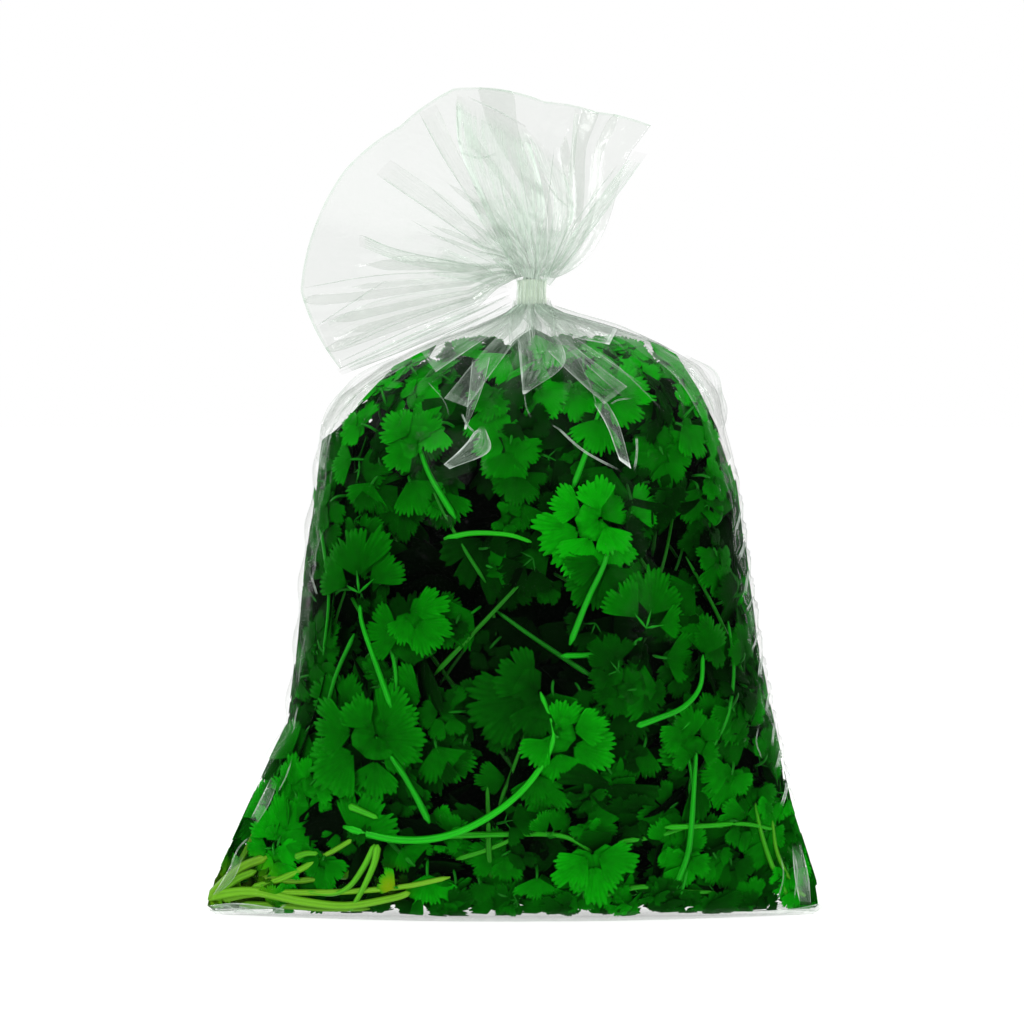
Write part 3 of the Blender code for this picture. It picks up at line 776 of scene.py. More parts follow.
# The film bag: one sheet from the base to the mouth, gathered in pleats at the neck
filmLook = {
    "columns": 640, "seed": 5, "pleats": 24, "crinkle": 0.7, "shoulderCrinkle": 1.6,
    "bodyRows": 150, "neckRows": 8, "fanRows": 84,
    "haze": (0.50, 0.63, 0.52), "tint": (0.962, 0.963, 0.960),
    "bodyHaze": 0.001, "fanHaze": 0.045, "neckHaze": 0.6, "edgeHaze": 0.25, "roughness": 0.16,
    "highlightWhite": (0.92, 0.96, 0.93), "lineScale": 3.0, "crinkleScale": 260.0,
    "edgeShine": 0.20, "faceShine": 0.0006, "fanShine": 0.03, "shineRoughness": 0.09,
}


def filmPleats(look):
    rng = random.Random(look["seed"])
    pleats = []
    for number in range(look["pleats"]):
        middle = (number + 0.5 + rng.uniform(-0.22, 0.22)) / look["pleats"]
        half = 0.5 / look["pleats"] * rng.uniform(0.7, 1.0)
        if min(middle % 0.5, 0.5 - middle % 0.5) < half:
            continue  # the side folds stay open
        pleat = {"middle": middle, "half": half, "way": rng.choice((-1, 1)), "foot": rng.uniform(142, 200)}
        rng.random()  # one draw is passed over before the strength
        pleats.append({**pleat, "strength": rng.uniform(0.8, 1.2)})
    return pleats


def pleatShift(share, pleats, amounts, width, height):
    # the film doubles back on itself in a pleat: along is how far it moves round, off how far it lifts
    along, off = np.zeros_like(share), np.zeros_like(share)
    for pleat, amount in zip(pleats, amounts):
        if amount <= 0:
            continue
        place = (share - pleat["middle"]) / pleat["half"]
        wave = np.where(np.abs(place) < 1, np.sin(np.pi * place), 0)
        along -= width * amount * pleat["half"] * wave / math.pi
        off -= pleat["way"] * height * amount * wave
    return along, off


def softNoise(a, b, seed):
    # smooth noise from a few sines, the same each run
    rng = random.Random(seed)
    total = 0
    for _ in range(7):
        fa, fb, phase = rng.uniform(-1, 1), rng.uniform(-1, 1), rng.uniform(0, 6.28)
        total = total + np.sin(a * fa * 2 + b * fb * 2 + phase)
    return total / 7


def bodyRow(height, share, pleats, look):
    amounts = [float(smoothStep((height - p["foot"]) / (neckBottom - p["foot"]))) * p["strength"]
               for p in pleats]
    along, off = pleatShift(share, pleats, amounts, 4.6, 1.7)
    left, right, depth, pinch = ringAt(height)
    middle, halfWidth = (left + right) / 2, (right - left) / 2
    turn = 2 * np.pi * (share + along)
    sine, cosine = np.sin(turn), np.cos(turn)
    x = middle - halfWidth * cosine
    y = -np.sign(sine) * (depth * np.abs(sine) ** pinch + foldLip * np.minimum(1, np.abs(sine) * 6))
    shoulder = float(smoothStep((height - 145) / 40) * smoothStep((neckBottom + 6 - height) / 12))
    low = float(smoothStep((24 - height) / 20))
    corner = low * np.abs(cosine) ** 6
    rough = mix(look["crinkle"], look["shoulderCrinkle"], shoulder)
    wave = softNoise(turn * 9, height * 0.16 + 0 * turn, 3) * rough
    wave += np.abs(softNoise(turn * 21, height * 0.35 + 0 * turn, 4)) * rough * 0.8
    wave += corner * 1.6 * softNoise(x * 0.45, height * 0.5 + 0 * x, 6)
    # small overlapping tucks down the right side fold
    side = np.exp(-((np.abs(turn / np.pi - 1)) / 0.055) ** 2)
    tuck = (height / 9.4 + 0.35 * np.sign(sine)) % 1
    inRange = float(smoothStep((height - 36) / 8) * smoothStep((160 - height) / 8))
    x = x + side * inRange * (1.5 * tuck - 1.2)
    leftSide = np.exp(-(np.minimum(turn, 2 * np.pi - turn) / np.pi / 0.05) ** 2)
    x = x + leftSide * 0.7 * math.sin(height * 0.31) * float(smoothStep((height - 40) / 20))
    room = np.minimum(1, np.abs(sine) * 5)
    lift = (wave - 0.3) * room + off
    x = x - lift * cosine * 0.8
    y = y - lift * sine
    return np.stack((x, y, np.full_like(x, height)), -1)


def neckRow(height, share, pleats):
    along, off = pleatShift(share, pleats, [p["strength"] for p in pleats], 4.6, 0.55)
    turn = 2 * np.pi * (share + along)
    waist = neckRadius - 0.9 - 0.35 * math.sin(math.pi * (height - neckBottom) / (neckTop - neckBottom))
    radius = waist + off
    return np.stack((neckX - radius * np.cos(turn), -radius * np.sin(turn), np.full_like(turn, height)), -1)


# Pleats of the spread mouth: share across from the left fold (0) to the right (1), half width,
# how far out it runs, strength, layers the front (-1) or the back (1)
fanPleats = [
    (0.04, 0.020, 1.0, 1.1, -1), (0.09, 0.018, 0.9, 1.2, -1), (0.15, 0.022, 0.75, 1.0, -1),
    (0.22, 0.020, 0.6, 1.1, -1), (0.30, 0.022, 0.5, 0.9, -1), (0.40, 0.018, 0.42, 1.0, -1),
    (0.50, 0.020, 0.5, 1.1, -1), (0.685, 0.075, 1.05, 1.05, -1), (0.84, 0.030, 0.8, 1.1, -1),
    (0.93, 0.022, 1.0, 1.1, -1), (0.06, 0.022, 0.85, 1.0, 1), (0.13, 0.020, 1.0, 1.1, 1),
    (0.20, 0.024, 0.7, 1.2, 1), (0.33, 0.022, 0.5, 1.0, 1), (0.47, 0.024, 0.6, 1.0, 1),
    (0.60, 0.022, 0.8, 1.1, 1), (0.74, 0.030, 0.7, 1.1, 1), (0.88, 0.036, 1.05, 1.1, 1),
]


def fanBelly(step, across):
    # how far the spread mouth bulges between its side folds
    return 5.0 * np.sin(np.pi * step) * np.sin(np.pi * across) ** 0.8


def fanSway(step, across):
    return 6.0 * step * np.sin(2 * np.pi * across * 1.1 + 0.5) * np.sin(np.pi * across)


def fanRow(step, share):
    across = np.where(share <= 0.5, share * 2, (1 - share) * 2)
    side = np.where(share <= 0.5, -1.0, 1.0)
    moved, lift = across.copy(), np.zeros_like(across)
    for middle, half, end, strength, layer in fanPleats:
        amount = strength * float(smoothStep((end + 0.12 - step) / 0.2)) * float(smoothStep(step / 0.05))
        place = (across - middle) / half
        wave = np.where((np.abs(place) < 1) & (side == layer), np.sin(np.pi * place), 0)
        moved -= 2.7 * amount * half * wave / math.pi
        lift += wave * amount * (1.1 + 5 * step * half)
    start, last = mouthEdge[0, 0], mouthEdge[-1, 0]
    leftFold = mix(168.0, start, float(smoothStep(step / 0.3)))
    rightFold = mix(8.0, last, float(smoothStep(step / 0.85)) ** 0.8)
    angle = mix(leftFold, rightFold, moved)
    edge = np.interp(-mix(start, last, moved), -mouthEdge[:, 0], mouthEdge[:, 1])
    reach = step * edge
    fold = np.minimum(1, np.minimum(across, 1 - across) * 14)
    small = float(smoothStep((0.75 - step) / 0.6))
    ripple = np.sin(across * 62 + side * 1.7) * 0.7 * small
    ripple += np.sin(across * 23 + side) * 1.2 * step
    ripple += softNoise(across * 14, step * 3 + across * 0, 9) * 2.0 * step
    gap = mix(0.8, 2.2, step) * fold + neckRadius * 0.75 * max(0.0, 1 - step / 0.16) * fold
    y = side * (gap + fanBelly(step, across) * 0.35 + 0.6 * ripple * fold) + fanSway(step, across)
    y += side * lift * fold
    radians = np.radians(angle)
    x = neckX + reach * np.cos(radians)
    z = fanCentre + reach * np.sin(radians)
    near = max(0.0, 1 - step / 0.12)
    # the first rows rise out of the round neck
    x = mix(x, neckX - neckRadius * 0.7 * np.cos(np.pi * moved), near)
    z = mix(z, neckTop + step * 30, near)
    return np.stack((x, y, z), -1)


def filmMaterial(look):
    # gather is how milky the film is, paintedGlint how much painted highlight white it carries; run and
    # streak place its fine lines
    made, tree, shader = newMaterial("clear film")
    words = ("gather", "fan", "run", "streak", "paintedGlint")
    gather, fan, run, streak, paintedGlint = (attribute(tree, word) for word in words)
    facing = addNode(tree, "ShaderNodeLayerWeight", {"Blend": 0.5}, "Facing")
    where = addNode(tree, "ShaderNodeCombineXYZ", {
        0: mathNode(tree, "MULTIPLY", streak, 34.0), 1: mathNode(tree, "MULTIPLY", run, 2.5),
    })
    lines = noise(tree, where, look["lineScale"], 3.0)
    crinkle = noise(tree, objectPlace(tree), look["crinkleScale"], 3.0, distortion=0.8)
    normal = bumped(tree, crinkle, 0.25, 0.0006)
    base = mathNode(tree, "MULTIPLY_ADD", fan, look["fanHaze"], look["bodyHaze"])
    amount = mathNode(tree, "MAXIMUM", mathNode(tree, "MULTIPLY_ADD", lines, 4.4, -1.35), 0.12)
    cloud = mathNode(tree, "MULTIPLY", mathNode(tree, "MULTIPLY", gather, amount), look["neckHaze"])
    rim = mathNode(tree, "MULTIPLY", mathNode(tree, "POWER", facing, 6.0), look["edgeHaze"])
    # painted highlight: where the glint is set the film turns opaque and near white
    bright = mathNode(tree, "MULTIPLY", paintedGlint, 0.9)
    opacity = mathNode(tree, "ADD", mathNode(tree, "ADD", base, cloud), rim)
    opacity = mathNode(tree, "ADD", opacity, bright, clamp=True)
    setInputs(tree, shader, {
        "Base Color": colourMix(tree, paintedGlint, look["haze"], look["highlightWhite"]),
        "Roughness": look["roughness"], "IOR": 1.5, "Normal": normal,
    })
    clear = addNode(tree, "ShaderNodeBsdfTransparent", {"Color": look["tint"]})
    veil = addNode(tree, "ShaderNodeMixShader", {0: opacity, 1: clear, 2: shader.outputs[0]})
    shine = addNode(tree, "ShaderNodeBsdfGlossy", {
        "Color": (1.0, 1.0, 1.0), "Roughness": look["shineRoughness"], "Normal": normal,
    })
    steep = mathNode(tree, "POWER", facing, 7.0)
    steep = mathNode(tree, "MULTIPLY_ADD", steep, look["edgeShine"], look["faceShine"])
    gloss = mathNode(tree, "MULTIPLY_ADD", fan, look["fanShine"], steep)
    setSurface(tree, addNode(tree, "ShaderNodeMixShader", {0: gloss, 1: veil, 2: shine}))
    return made


clearFilm = filmMaterial(filmLook)


def makeBag(look):
    columns = look["columns"]
    share = np.arange(columns) / columns
    pleats = filmPleats(look)
    rows, values = [], {"gather": [], "fan": [], "run": [], "streak": []}

    def addRow(points, *numbers):
        rows.append(points)
        for key, number in zip(values, (*numbers, share)):
            values[key].append(np.broadcast_to(number, columns))

    front = 0.55 + 0.45 * np.sin(share * 2 * np.pi * 9 + 1.3) ** 2
    crease = np.exp(-(np.minimum(share, np.abs(share - 0.5)) / 0.006) ** 2)
    for height in neckBottom * np.linspace(0, 1, look["bodyRows"]) ** 0.92:
        distance = neckBottom - height
        gather = (math.exp(-distance / 5.0) + 0.10 * front * math.exp(-distance / 16.0)
                  + 0.30 * crease + 0.25 * math.exp(-(height / 1.6) ** 2))
        addRow(bodyRow(float(height), share, pleats, look), gather, 0.0, height / 60)
    for height in np.linspace(neckBottom, neckTop, look["neckRows"] + 2)[1:-1]:
        addRow(neckRow(float(height), share, pleats), 1.0, 0.5, height / 60)
    for step in np.linspace(0.0, 1.0, look["fanRows"]) ** 1.25:
        gather = math.exp(-step / 0.16) + 0.10 * math.exp(-step / 0.5)
        gather += 0.5 * math.exp(-((1 - step) / 0.006) ** 2)
        addRow(fanRow(float(step), share), gather, 1.0, 4 + step * 1.5)
    faces = gridFaces(len(rows), columns, closed=True)
    # the seam at the bottom joins the front to the back
    half = columns // 2
    faces += [(n, columns - n, columns - n - 1, n + 1) for n in range(1, half - 1)]
    faces += [(0, columns - 1, 1), (half - 1, half + 1, half)]
    values = {key: np.concatenate(numbers) for key, numbers in values.items()}
    bag = meshObject("filmBag", np.concatenate(rows), faces, values, clearFilm)
    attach(bag, "root")
    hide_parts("bag")
    print("film bag made:", len(faces), "faces")


makeBag(filmLook)

# Loose folds and tucks of film that lie on the bag, seen from the front. A fold is a strip between two
# edges of (x, height): left edge, right edge, how milky, painted highlight white along left / right / across
# the end
foldLook = {"rows": 30, "columns": 13, "lift": 1.3, "lineLift": 0.5}
shoulderFolds = [
    ([(11, 212), (24, 208.5), (36, 205)], [(9, 207), (21, 202), (33, 199.5)], 0.75, (0.5, 0.1, 0.5)),
    ([(1, 203), (2, 193), (3, 182.5)], [(14, 205), (17.5, 193), (3.8, 182.5)], 0.5, (0.35, 0.2, 0.6)),
    ([(-14.4, 195), (-15.5, 183), (-17, 170.5)],
     [(-7.8, 197), (-11, 184), (-16.4, 170.5)], 0.6, (0.3, 0.3, 0.7)),
    ([(10.4, 198.5), (20, 189), (31, 179)], [(16, 203), (27, 194), (39, 185)], 0.32, (0.3, 0.25, 0.1)),
    ([(0, 216), (-1.5, 208), (-2, 197)], [(5, 216), (5.5, 208), (6, 196)], 0.62, (0.35, 0.2, 0.0)),
    ([(5, 216), (5.5, 208), (7, 198)], [(12, 216), (14, 208), (14, 199)], 0.5, (0.2, 0.35, 0.0)),
    ([(0, 214), (-14, 208), (-33, 198)], [(4, 211), (-8, 203), (-27, 190)], 0.42, (0.35, 0.2, 0.1)),
    ([(-2, 206), (-10, 198), (-24, 181)], [(4, 204), (-3, 196), (-16, 178)], 0.34, (0.2, 0.25, 0.1)),
    ([(8, 210), (24, 200), (47, 184)], [(9, 206), (22, 195), (41, 178)], 0.34, (0.3, 0.2, 0.0)),
    ([(-40, 196), (-56, 188), (-68, 172)], [(-36, 193), (-50, 184), (-62, 168)], 0.30, (0.3, 0.2, 0.0)),
    ([(50, 199), (63, 190), (71, 176)], [(46, 197), (57, 187), (66, 172)], 0.30, (0.3, 0.2, 0.0)),
    ([(-58, 186), (-66, 176), (-69, 160)], [(-53, 183), (-62, 172), (-66, 156)], 0.28, (0.3, 0.25, 0.1)),
    ([(-11, 172), (-18, 164), (-24, 158.5)], [(-10, 171.5), (-8.5, 163), (-22, 157)], 0.55, (0.6, 0.45, 0.3)),
    ([(27, 180), (32, 171), (36, 160)], [(31, 181), (36, 172), (40, 157)], 0.5, (0.7, 0.3, 0.7)),
]
fanFolds = [
    ([(-20, 286.5), (-19, 268), (-8, 241.5), (0.4, 224)],
     [(4, 276), (10.7, 250), (9, 236), (9, 222)], 1.05, (0.45, 0.2, 0.1)),
    ([(4, 275), (9, 262), (14, 250), (10, 222)],
     [(17, 262), (21, 246), (17, 236), (12, 222)], 0.75, (0.2, 0.45, 0.1)),
    ([(42, 267), (24, 243), (9.5, 222)], [(46.5, 266), (28, 240.5), (12.5, 220)], 0.95, (0.25, 0.4, 0.1)),
    ([(-54, 238), (-38, 232), (-2, 225)], [(-54, 234), (-36, 227.5), (-2, 222)], 0.9, (0.3, 0.15, 0.0)),
    ([(-62, 191), (-34, 204), (-2, 217)], [(-60, 189), (-32, 200), (0, 214)], 1.1, (0.3, 0.2, 0.0)),
    ([(-68, 206), (-44, 216), (-3, 221)], [(-64, 197), (-38, 209), (-2, 218)], 0.25, (0.2, 0.2, 0.0)),
    ([(-48, 259), (-27.5, 245), (-4, 228.6)], [(-43, 264), (-22, 249), (-2, 230)], 0.22, (0.3, 0.1, 0.0)),
    ([(-33, 280), (-23, 262), (-4.6, 234)], [(-27, 283), (-18, 264), (-2, 236)], 0.22, (0.3, 0.1, 0.0)),
    ([(-16, 250), (-10, 240), (1, 225)], [(-2, 252), (2, 242), (6, 226)], 0.8, (0.2, 0.2, 0.0)),
    ([(-16, 236), (-8, 230), (0, 222)], [(-4, 243), (0, 234), (5, 224)], 0.9, (0.2, 0.2, 0.0)),
    ([(2, 243), (4, 234), (7, 223)], [(17, 240), (14, 232), (11, 222)], 0.9, (0.2, 0.2, 0.0)),
    ([(-30, 224), (-16, 222), (-1, 219)], [(-26, 234), (-13, 228), (0, 221)], 0.7, (0.2, 0.2, 0.0)),
]
# Creases: route, width, how milky, how much painted highlight white
shoulderCreases = [
    ([(-1.4, 217), (-14, 211), (-29, 205)], 0.5, 0.9, 0.6),
    ([(-1, 214.5), (-15, 207), (-31, 200)], 0.4, 0.8, 0.4),
    ([(-15.5, 166), (-13, 169.5), (-10.5, 170)], 0.9, 0.9, 0.9),
    ([(-18, 176), (-16, 172), (-13, 169)], 0.6, 0.9, 0.8),
    ([(13, 172), (16, 170), (20, 166)], 0.4, 0.6, 0.6),
    ([(33, 179), (36, 180.5), (41, 181)], 0.5, 0.6, 0.6),
    ([(14.4, 171.5), (24, 163), (37, 156)], 0.7, 0.9, 0.9),
    ([(42, 168), (42, 162), (41, 156)], 0.7, 0.9, 0.9),
    ([(-30, 187), (-24, 180), (-22, 174)], 0.3, 0.5, 0.4),
    ([(-60, 175), (-66, 165), (-68, 152)], 0.4, 0.6, 0.5),
    ([(3.5, 183), (4.2, 178), (6, 174)], 0.4, 0.5, 0.5),
    ([(-68, 113), (-69.5, 117), (-71, 121)], 0.6, 0.8, 0.9),
    ([(-75, 74), (-76, 70), (-76.5, 66)], 0.5, 0.8, 0.8),
    ([(28, 198), (38, 190), (52, 176)], 0.4, 0.6, 0.4), ([(58, 193), (66, 184), (71, 172)], 0.5, 0.6, 0.5),
    ([(20, 199), (26, 186), (29, 176)], 0.35, 0.5, 0.35),
    ([(-72, 100), (-74, 90), (-75, 80)], 0.35, 0.5, 0.5),
    ([(-66, 135), (-68.5, 128), (-69, 120)], 0.3, 0.5, 0.5),
]
fanCreases = [
    ([(-16, 285.5), (-6, 281), (4, 275.5)], 0.6, 0.6, 0.8),
    ([(-19, 266.5), (-12, 264.5), (-5.5, 266)], 0.9, 0.6, 0.95),
    ([(-20, 284), (-19.6, 277), (-19, 270)], 0.7, 0.6, 0.9),
    ([(10, 258), (15, 251), (21, 246)], 0.6, 0.6, 0.8), ([(21, 246), (17, 236), (11, 222)], 0.5, 0.9, 0.3),
    ([(22, 282), (20.5, 265), (19, 248)], 1.6, 0.55, 0.1),
    ([(-33, 280), (-23, 262), (-4.6, 234)], 0.4, 0.8, 0.1),
    ([(-48, 259), (-27.5, 245), (-4, 228.6)], 0.4, 0.8, 0.1),
    ([(-54, 238), (-38, 232), (-2, 225)], 0.4, 0.8, 0.2),
    ([(-73, 219.5), (-44.5, 224), (-7, 225)], 0.4, 0.8, 0.1),
    ([(-69, 206), (-57, 214), (-43, 223)], 0.4, 0.8, 0.1),
    ([(-61, 190), (-34, 202), (-2, 216)], 0.5, 0.8, 0.3),
    ([(-62, 193), (-36, 205), (-3, 218)], 0.4, 0.8, 0.1),
    ([(-63, 197), (-38, 208), (-4, 219.5)], 0.4, 0.8, 0.1),
    ([(-6, 262), (-2, 246), (5, 228)], 0.4, 0.8, 0.2), ([(2, 262), (5, 246), (7.5, 228)], 0.4, 0.8, 0.2),
    ([(-12, 256), (-7, 244), (2, 227)], 0.35, 0.8, 0.1), ([(30, 252), (22, 238), (12, 223)], 0.4, 0.8, 0.2),
    ([(36, 262), (24, 246), (12, 226)], 0.4, 0.8, 0.2),
    ([(-36, 243), (-20, 234), (-3, 226)], 0.3, 0.8, 0.1),
    ([(-30, 255), (-17, 243), (-3, 229)], 0.3, 0.8, 0.1),
    ([(14, 268), (12, 250), (10, 228)], 0.3, 0.7, 0.1),
]

# Folds and creases along the bottom seam and up its corners
hemFolds = [
    ([(-108, 3), (-96, 4.5), (-80, 3.2)], [(-107, 0.8), (-94, 1.0), (-80, 1.0)], 0.9, (0.5, 0.4, 0.1)),
    ([(-104, 7), (-98, 13), (-94, 22)], [(-106, 6), (-101, 14), (-97, 22)], 0.45, (0.3, 0.5, 0.0)),
    ([(-92, 34), (-88, 42), (-84, 50)], [(-90, 32), (-85, 40), (-82, 48)], 0.4, (0.5, 0.3, 0.0)),
    ([(100, 4), (98, 14), (97, 26)], [(104, 3), (103, 14), (100, 26)], 0.6, (0.5, 0.3, 0.0)),
    ([(108, 4), (98, 2.5), (84, 2.2)], [(108, 1), (98, 0.8), (84, 0.8)], 0.8, (0.4, 0.4, 0.0)),
]
# Small tucks of film one above the other down the right side, edged with painted highlight
tuckLook = {"seed": 12, "count": 10, "top": 142, "spacing": 10.4}
sideTucks = []
tuckRandom = random.Random(tuckLook["seed"])
for n in range(tuckLook["count"]):
    z = tuckLook["top"] - tuckLook["spacing"] * n + tuckRandom.uniform(-1.5, 1.5)
    long = tuckRandom.uniform(5, 10)
    sideTucks.append(([(ringAt(z)[1] - 1.4, z), (ringAt(z - 4)[1] - 3.0, z - 0.45 * long),
                       (ringAt(z - 9)[1] - tuckRandom.uniform(4.4, 6.0), z - long)],
                      tuckRandom.uniform(0.7, 1.2), 1.0, tuckRandom.uniform(0.8, 1.0)))
hemCreases = [
    ([(-104, 1), (-101, 3.4), (-96, 2.0), (-92, 4.0)], 0.5, 0.9, 0.9),
    ([(-98, 1), (-95, 3), (-90, 1.4)], 0.5, 0.9, 0.8), ([(-86, 1), (-82, 3), (-79, 5)], 0.5, 0.9, 0.8),
    ([(-99, 18), (-96, 24), (-92, 28)], 0.5, 0.8, 0.7), ([(-82, 44), (-79, 50), (-77, 56)], 0.4, 0.8, 0.7),
    ([(98, 6), (99, 16), (97, 24)], 0.5, 0.8, 0.8), ([(92, 6), (94, 14), (93, 22)], 0.4, 0.7, 0.6),
    ([(86, 56), (84, 62), (85, 68)], 0.4, 0.7, 0.8),
]
# Fine upright creases in the gathered neck, with some painted highlight
neckCreases = [
    ([(x + 0.9 * (x - 6), 227.5), (x, 222), (x, 217), (x - 0.2, 213), (x + 0.8 * (x - 6), 208)],
     0.9, 0.8, highlightWhite)
    for x, highlightWhite in ((1.2, 0.5), (2.4, 0.1), (3.8, 0.4), (5.2, 0.0), (6.4, 0.45), (7.8, 0.1),
                     (9.2, 0.3), (10.6, 0.1))
]


def neckFront(x, z):
    flare = 5.3 + 0.05 * np.abs(z - 218) ** 1.4
    return np.sqrt(np.maximum(flare**2 - (x - neckX) ** 2, 0.2))


def shoulderFront(x, z):
    return filmDepth(x, z) + 1.2


def fanFront(x, z):
    # how far the front of the spread mouth stands before the middle plane
    start, last = mouthEdge[0, 0], mouthEdge[-1, 0]
    angle = np.degrees(np.arctan2(z - fanCentre, x - neckX))
    angle = np.where(angle < -90, angle + 360, angle)
    reach = np.hypot(x - neckX, z - fanCentre)
    step = np.clip(reach / np.interp(-angle, -mouthEdge[:, 0], mouthEdge[:, 1]), 0, 1)
    across = np.clip((start - angle) / (start - last), 0, 1)
    neck = neckRadius * 0.75 * np.clip(1 - step / 0.16, 0, 1)
    return mix(0.8, 2.2, step) + neck + fanBelly(step, across) * 0.35 + 1.2 - fanSway(step, across)


def addStrip(strips, left, right, milky, highlightWhites, lift, frontAt, side, seed):
    rows, columns = foldLook["rows"], foldLook["columns"]
    edges = []
    for route in (left, right):
        route = smoothRoute(route, 8)
        edges.append(route[np.linspace(0, len(route) - 1, rows).round().astype(int)])
    across = np.linspace(0, 1, columns)
    place = mix(edges[0][:, None, :], edges[1][:, None, :], across[None, :, None])
    x, z = place[..., 0], place[..., 1]
    along = np.linspace(0, 1, rows)[:, None] + 0 * x
    share = across[None, :] + 0 * x
    arch = np.sin(np.pi * share) * (0.5 + 0.5 * np.sin(np.pi * np.clip(along, 0, 1)))
    y = side * (frontAt(x, z) + lift * (0.25 + arch) + 0.25 * softNoise(share * 16, along * 5, seed))
    # painted highlight along the strip's sides and across its end
    borders = ((share, 0.07), (1 - share, 0.07), (1 - along, 0.06))
    edge = [np.exp(-(far / width) ** 2) for far, width in borders]
    paintedGlint = sum(highlightWhite * part for highlightWhite, part in zip(highlightWhites, edge))
    fade = smoothStep(along / 0.12) * (1 if highlightWhites[2] else smoothStep((1 - along) / 0.3))
    strips["faces"].append(np.array(gridFaces(rows, columns)) + rows * columns * len(strips["points"]))
    strips["points"].append(np.stack((x, y, z), -1).reshape(-1, 3))
    strips["gather"].append((milky * (0.55 + 0.45 * (edge[0] + edge[1])) * fade).ravel())
    strips["paintedGlint"].append(np.clip(paintedGlint * fade, 0, 1).ravel())
    strips["streak"].append((share * 0.16 + seed * 0.37).ravel())
    strips["run"].append((along * 0.5 + seed).ravel())


def makeFolds(name, folds, creases, frontAt, side):
    strips = {key: [] for key in ("points", "faces", "gather", "paintedGlint", "streak", "run")}
    for seed, (left, right, milky, highlightWhites) in enumerate(folds, start=1):
        addStrip(strips, left, right, milky, highlightWhites, foldLook["lift"], frontAt, side, seed)
    for seed, (route, width, milky, highlightWhite) in enumerate(creases, start=40):
        route = np.array(route, float)
        way = np.gradient(route, axis=0)
        off = np.stack((-way[:, 1], way[:, 0]), -1)
        off *= (width / 2 / (np.linalg.norm(off, axis=1) + 1e-9))[:, None]
        addStrip(strips, route + off, route - off, milky * 1.6, (highlightWhite, highlightWhite, 0), foldLook["lineLift"],
                 frontAt, side, seed)
    strips = {key: np.concatenate(parts) for key, parts in strips.items()}
    points, faces = strips.pop("points"), strips.pop("faces").tolist()
    if side > 0:
        points[:, 0] = mirrored(points[:, 0], points[:, 2])
    made = meshObject(name, points, faces, strips, clearFilm)
    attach(made, "root")
    print(name, "made:", len(folds), "folds,", len(creases), "creases")


makeFolds("shoulderFoldsFront", shoulderFolds, shoulderCreases, shoulderFront, -1)
makeFolds("shoulderFoldsBack", shoulderFolds[1:], shoulderCreases[2:], shoulderFront, 1)
makeFolds("hemFoldsFront", hemFolds, hemCreases, filmDepth, -1)
makeFolds("hemFoldsBack", hemFolds, hemCreases, filmDepth, 1)
makeFolds("sideTucksFront", [], sideTucks, filmDepth, -1)
makeFolds("sideTucksBack", [], sideTucks[1::3], filmDepth, 1)
makeFolds("neckCreasesFront", [], neckCreases, neckFront, -1)
makeFolds("fanFolds", fanFolds, fanCreases, fanFront, -1)

bandLook = {"turns": 3, "radius": 4.7, "tape": 0.35, "bottom": 213.8, "top": 222.2,
            "colour": (0.50, 0.62, 0.47), "pale": (0.74, 0.82, 0.70), "roughness": 0.35}


def makeBand(look):
    # clear tape wound round the neck, its edges stepping a little from turn to turn
    made, tree, shader = newMaterial("clear band")
    upright = addNode(tree, "ShaderNodeMapping", {"Vector": objectPlace(tree), "Scale": (1.0, 1.0, 0.12)})
    lines = noise(tree, upright, 900.0, 3.0)
    setInputs(tree, shader, {
        "Base Color": colourMix(tree, lines, look["colour"], look["pale"]),
        "Roughness": look["roughness"], "Normal": bumped(tree, lines, 0.4, 0.0005),
    })
    pile = newPile()
    sides = 96
    turn = 2 * np.pi * np.arange(sides) / sides
    profile = []
    for n in range(look["turns"] * 2 + 1):
        share = n / (look["turns"] * 2)
        bulge = 0.35 * (2 * share - 1) ** 2 + (0.10 if n % 2 else 0.0)
        profile.append((look["radius"] + bulge, mix(look["bottom"], look["top"], share)))
    inner = [(look["radius"] - look["tape"], profile[-1][1]), (look["radius"] - look["tape"], profile[0][1])]
    loops = []
    for radius, height in [*profile, *inner, profile[0]]:
        ripple = 0.22 * np.sin(turn * 13 + height * 0.2) + 0.10 * np.sin(turn * 29 + height * 0.3)
        x = neckX + (radius + ripple) * np.cos(turn)
        y = (radius + ripple) * np.sin(turn)
        loops.append(np.stack((x, y, height + 0.25 * np.sin(turn + height)), -1))
    addToPile(pile, np.concatenate(loops), gridFaces(len(loops), sides, closed=True), tone=1.0)
    pileObject("neckBand", pile, made, ["neck_band"])
    print("neck band made")


makeBand(bandLook)

stageLook = {"floor": 30.0, "floorColour": (0.35, 0.35, 0.35), "floorGlow": 0.865,
             "backdrop": 1.0, "ambient": 0.42}


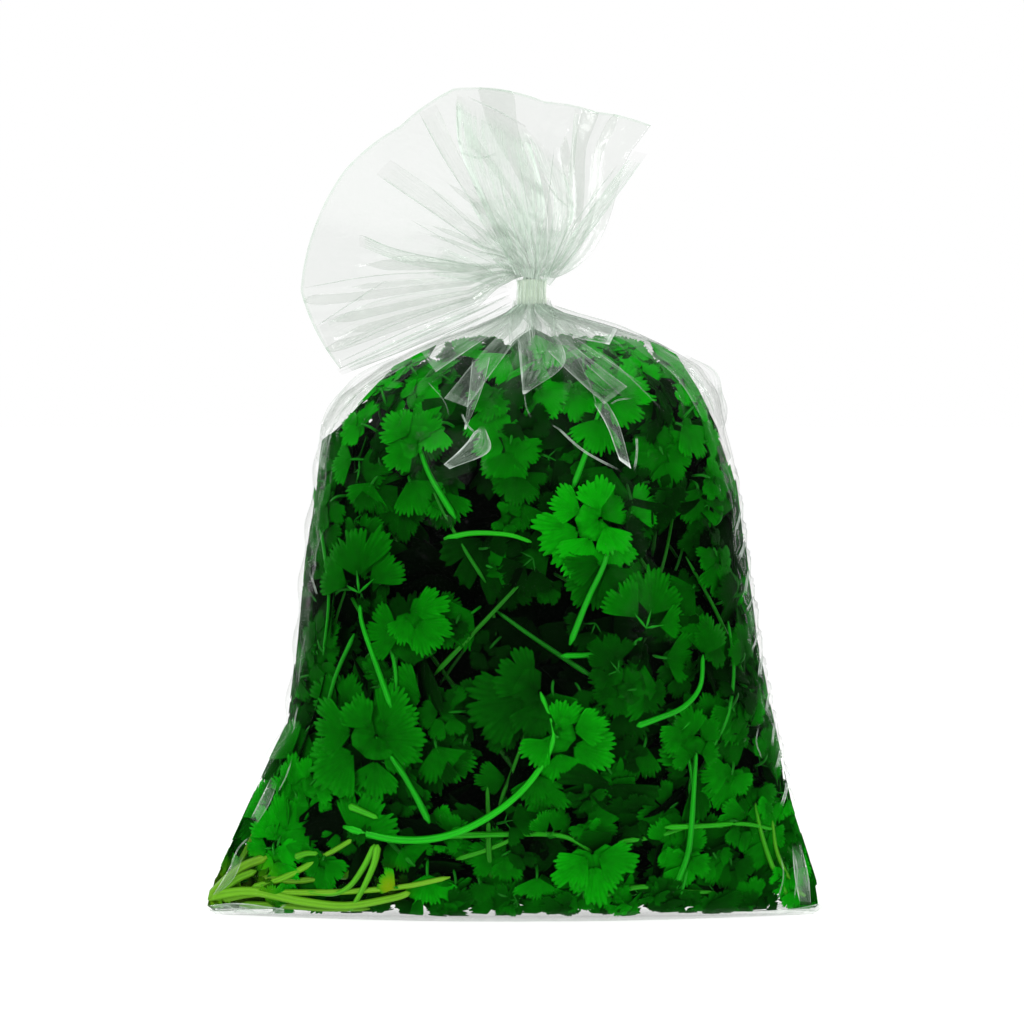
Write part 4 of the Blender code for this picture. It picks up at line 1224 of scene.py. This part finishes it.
def makeStage(look):
    mesh = bpy.data.meshes.new("floor")
    half = look["floor"] / 2
    corners = [(-half, -half, -0.0004), (half, -half, -0.0004), (half, half, -0.0004), (-half, half, -0.0004)]
    mesh.from_pydata(corners, [], [(0, 1, 2, 3)])
    floor = bpy.data.objects.new("floor", mesh)
    bpy.context.scene.collection.objects.link(floor)
    made, tree, shader = newMaterial("pale floor")
    setInputs(tree, shader, {
        "Base Color": look["floorColour"], "Roughness": 0.9, "Specular IOR Level": 0.0,
        "Emission Color": (1.0, 1.0, 1.0), "Emission Strength": look["floorGlow"],
    })
    mesh.materials.append(made)
    world = bpy.data.worlds.new("studio")
    bpy.context.scene.world = world
    world.use_nodes = True
    tree = world.node_tree
    strength = addNode(tree, "ShaderNodeMapRange", {
        "Value": addNode(tree, "ShaderNodeLightPath", output="Is Camera Ray"),
        "To Min": look["ambient"], "To Max": look["backdrop"],
    })
    setInputs(tree, tree.nodes["Background"], {"Color": (1.0, 1.0, 1.0), "Strength": strength})


lights = [  # name, place, size, power
    ("keyLight", (-0.75, -1.15, 0.95), (0.45, 0.6), 13),
    ("fillLight", (0.95, -1.0, 0.35), (0.35, 0.8), 5),
    ("topLight", (0.0, 0.1, 1.3), (0.5, 0.5), 5),
    ("leftRim", (-0.9, 0.75, 0.5), (0.25, 0.8), 5),
    ("rightRim", (0.9, 0.8, 0.45), (0.25, 0.8), 5),
]


def makeLights():
    target = Vector((0, 0, 0.13))
    for name, place, size, power in lights:
        data = bpy.data.lights.new(name, "AREA")
        data.shape = "RECTANGLE"
        data.size, data.size_y = size
        data.energy = power
        lamp = bpy.data.objects.new(name, data)
        lamp.location = place
        lamp.rotation_euler = (target - Vector(place)).to_track_quat("-Z", "Y").to_euler()
        bpy.context.scene.collection.objects.link(lamp)


cameraLook = {"distance": 2.0, "width": 0.3584, "aimX": -0.0007, "aimZ": 0.141, "elevation": 1.5}


def makeCamera(look):
    data = bpy.data.cameras.new("camera")
    data.sensor_width = 36
    data.lens = 36 * look["distance"] / look["width"]
    camera = bpy.data.objects.new("camera", data)
    angle = math.radians(look["elevation"])
    aim = Vector((look["aimX"], 0, look["aimZ"]))
    back = Vector((0, -math.cos(angle), math.sin(angle)))
    camera.location = aim + back * look["distance"]
    camera.rotation_euler = (-back).to_track_quat("-Z", "Y").to_euler()
    bpy.context.scene.collection.objects.link(camera)
    bpy.context.scene.camera = camera


makeStage(stageLook)
makeLights()
makeCamera(cameraLook)
settings = bpy.context.scene
settings.view_settings.view_transform = "Standard"
settings.view_settings.look = "None"
settings.cycles.transparent_max_bounces = 48  # the gathered film lies in many layers
settings.cycles.max_bounces = 8
print("stage, lights and camera made")
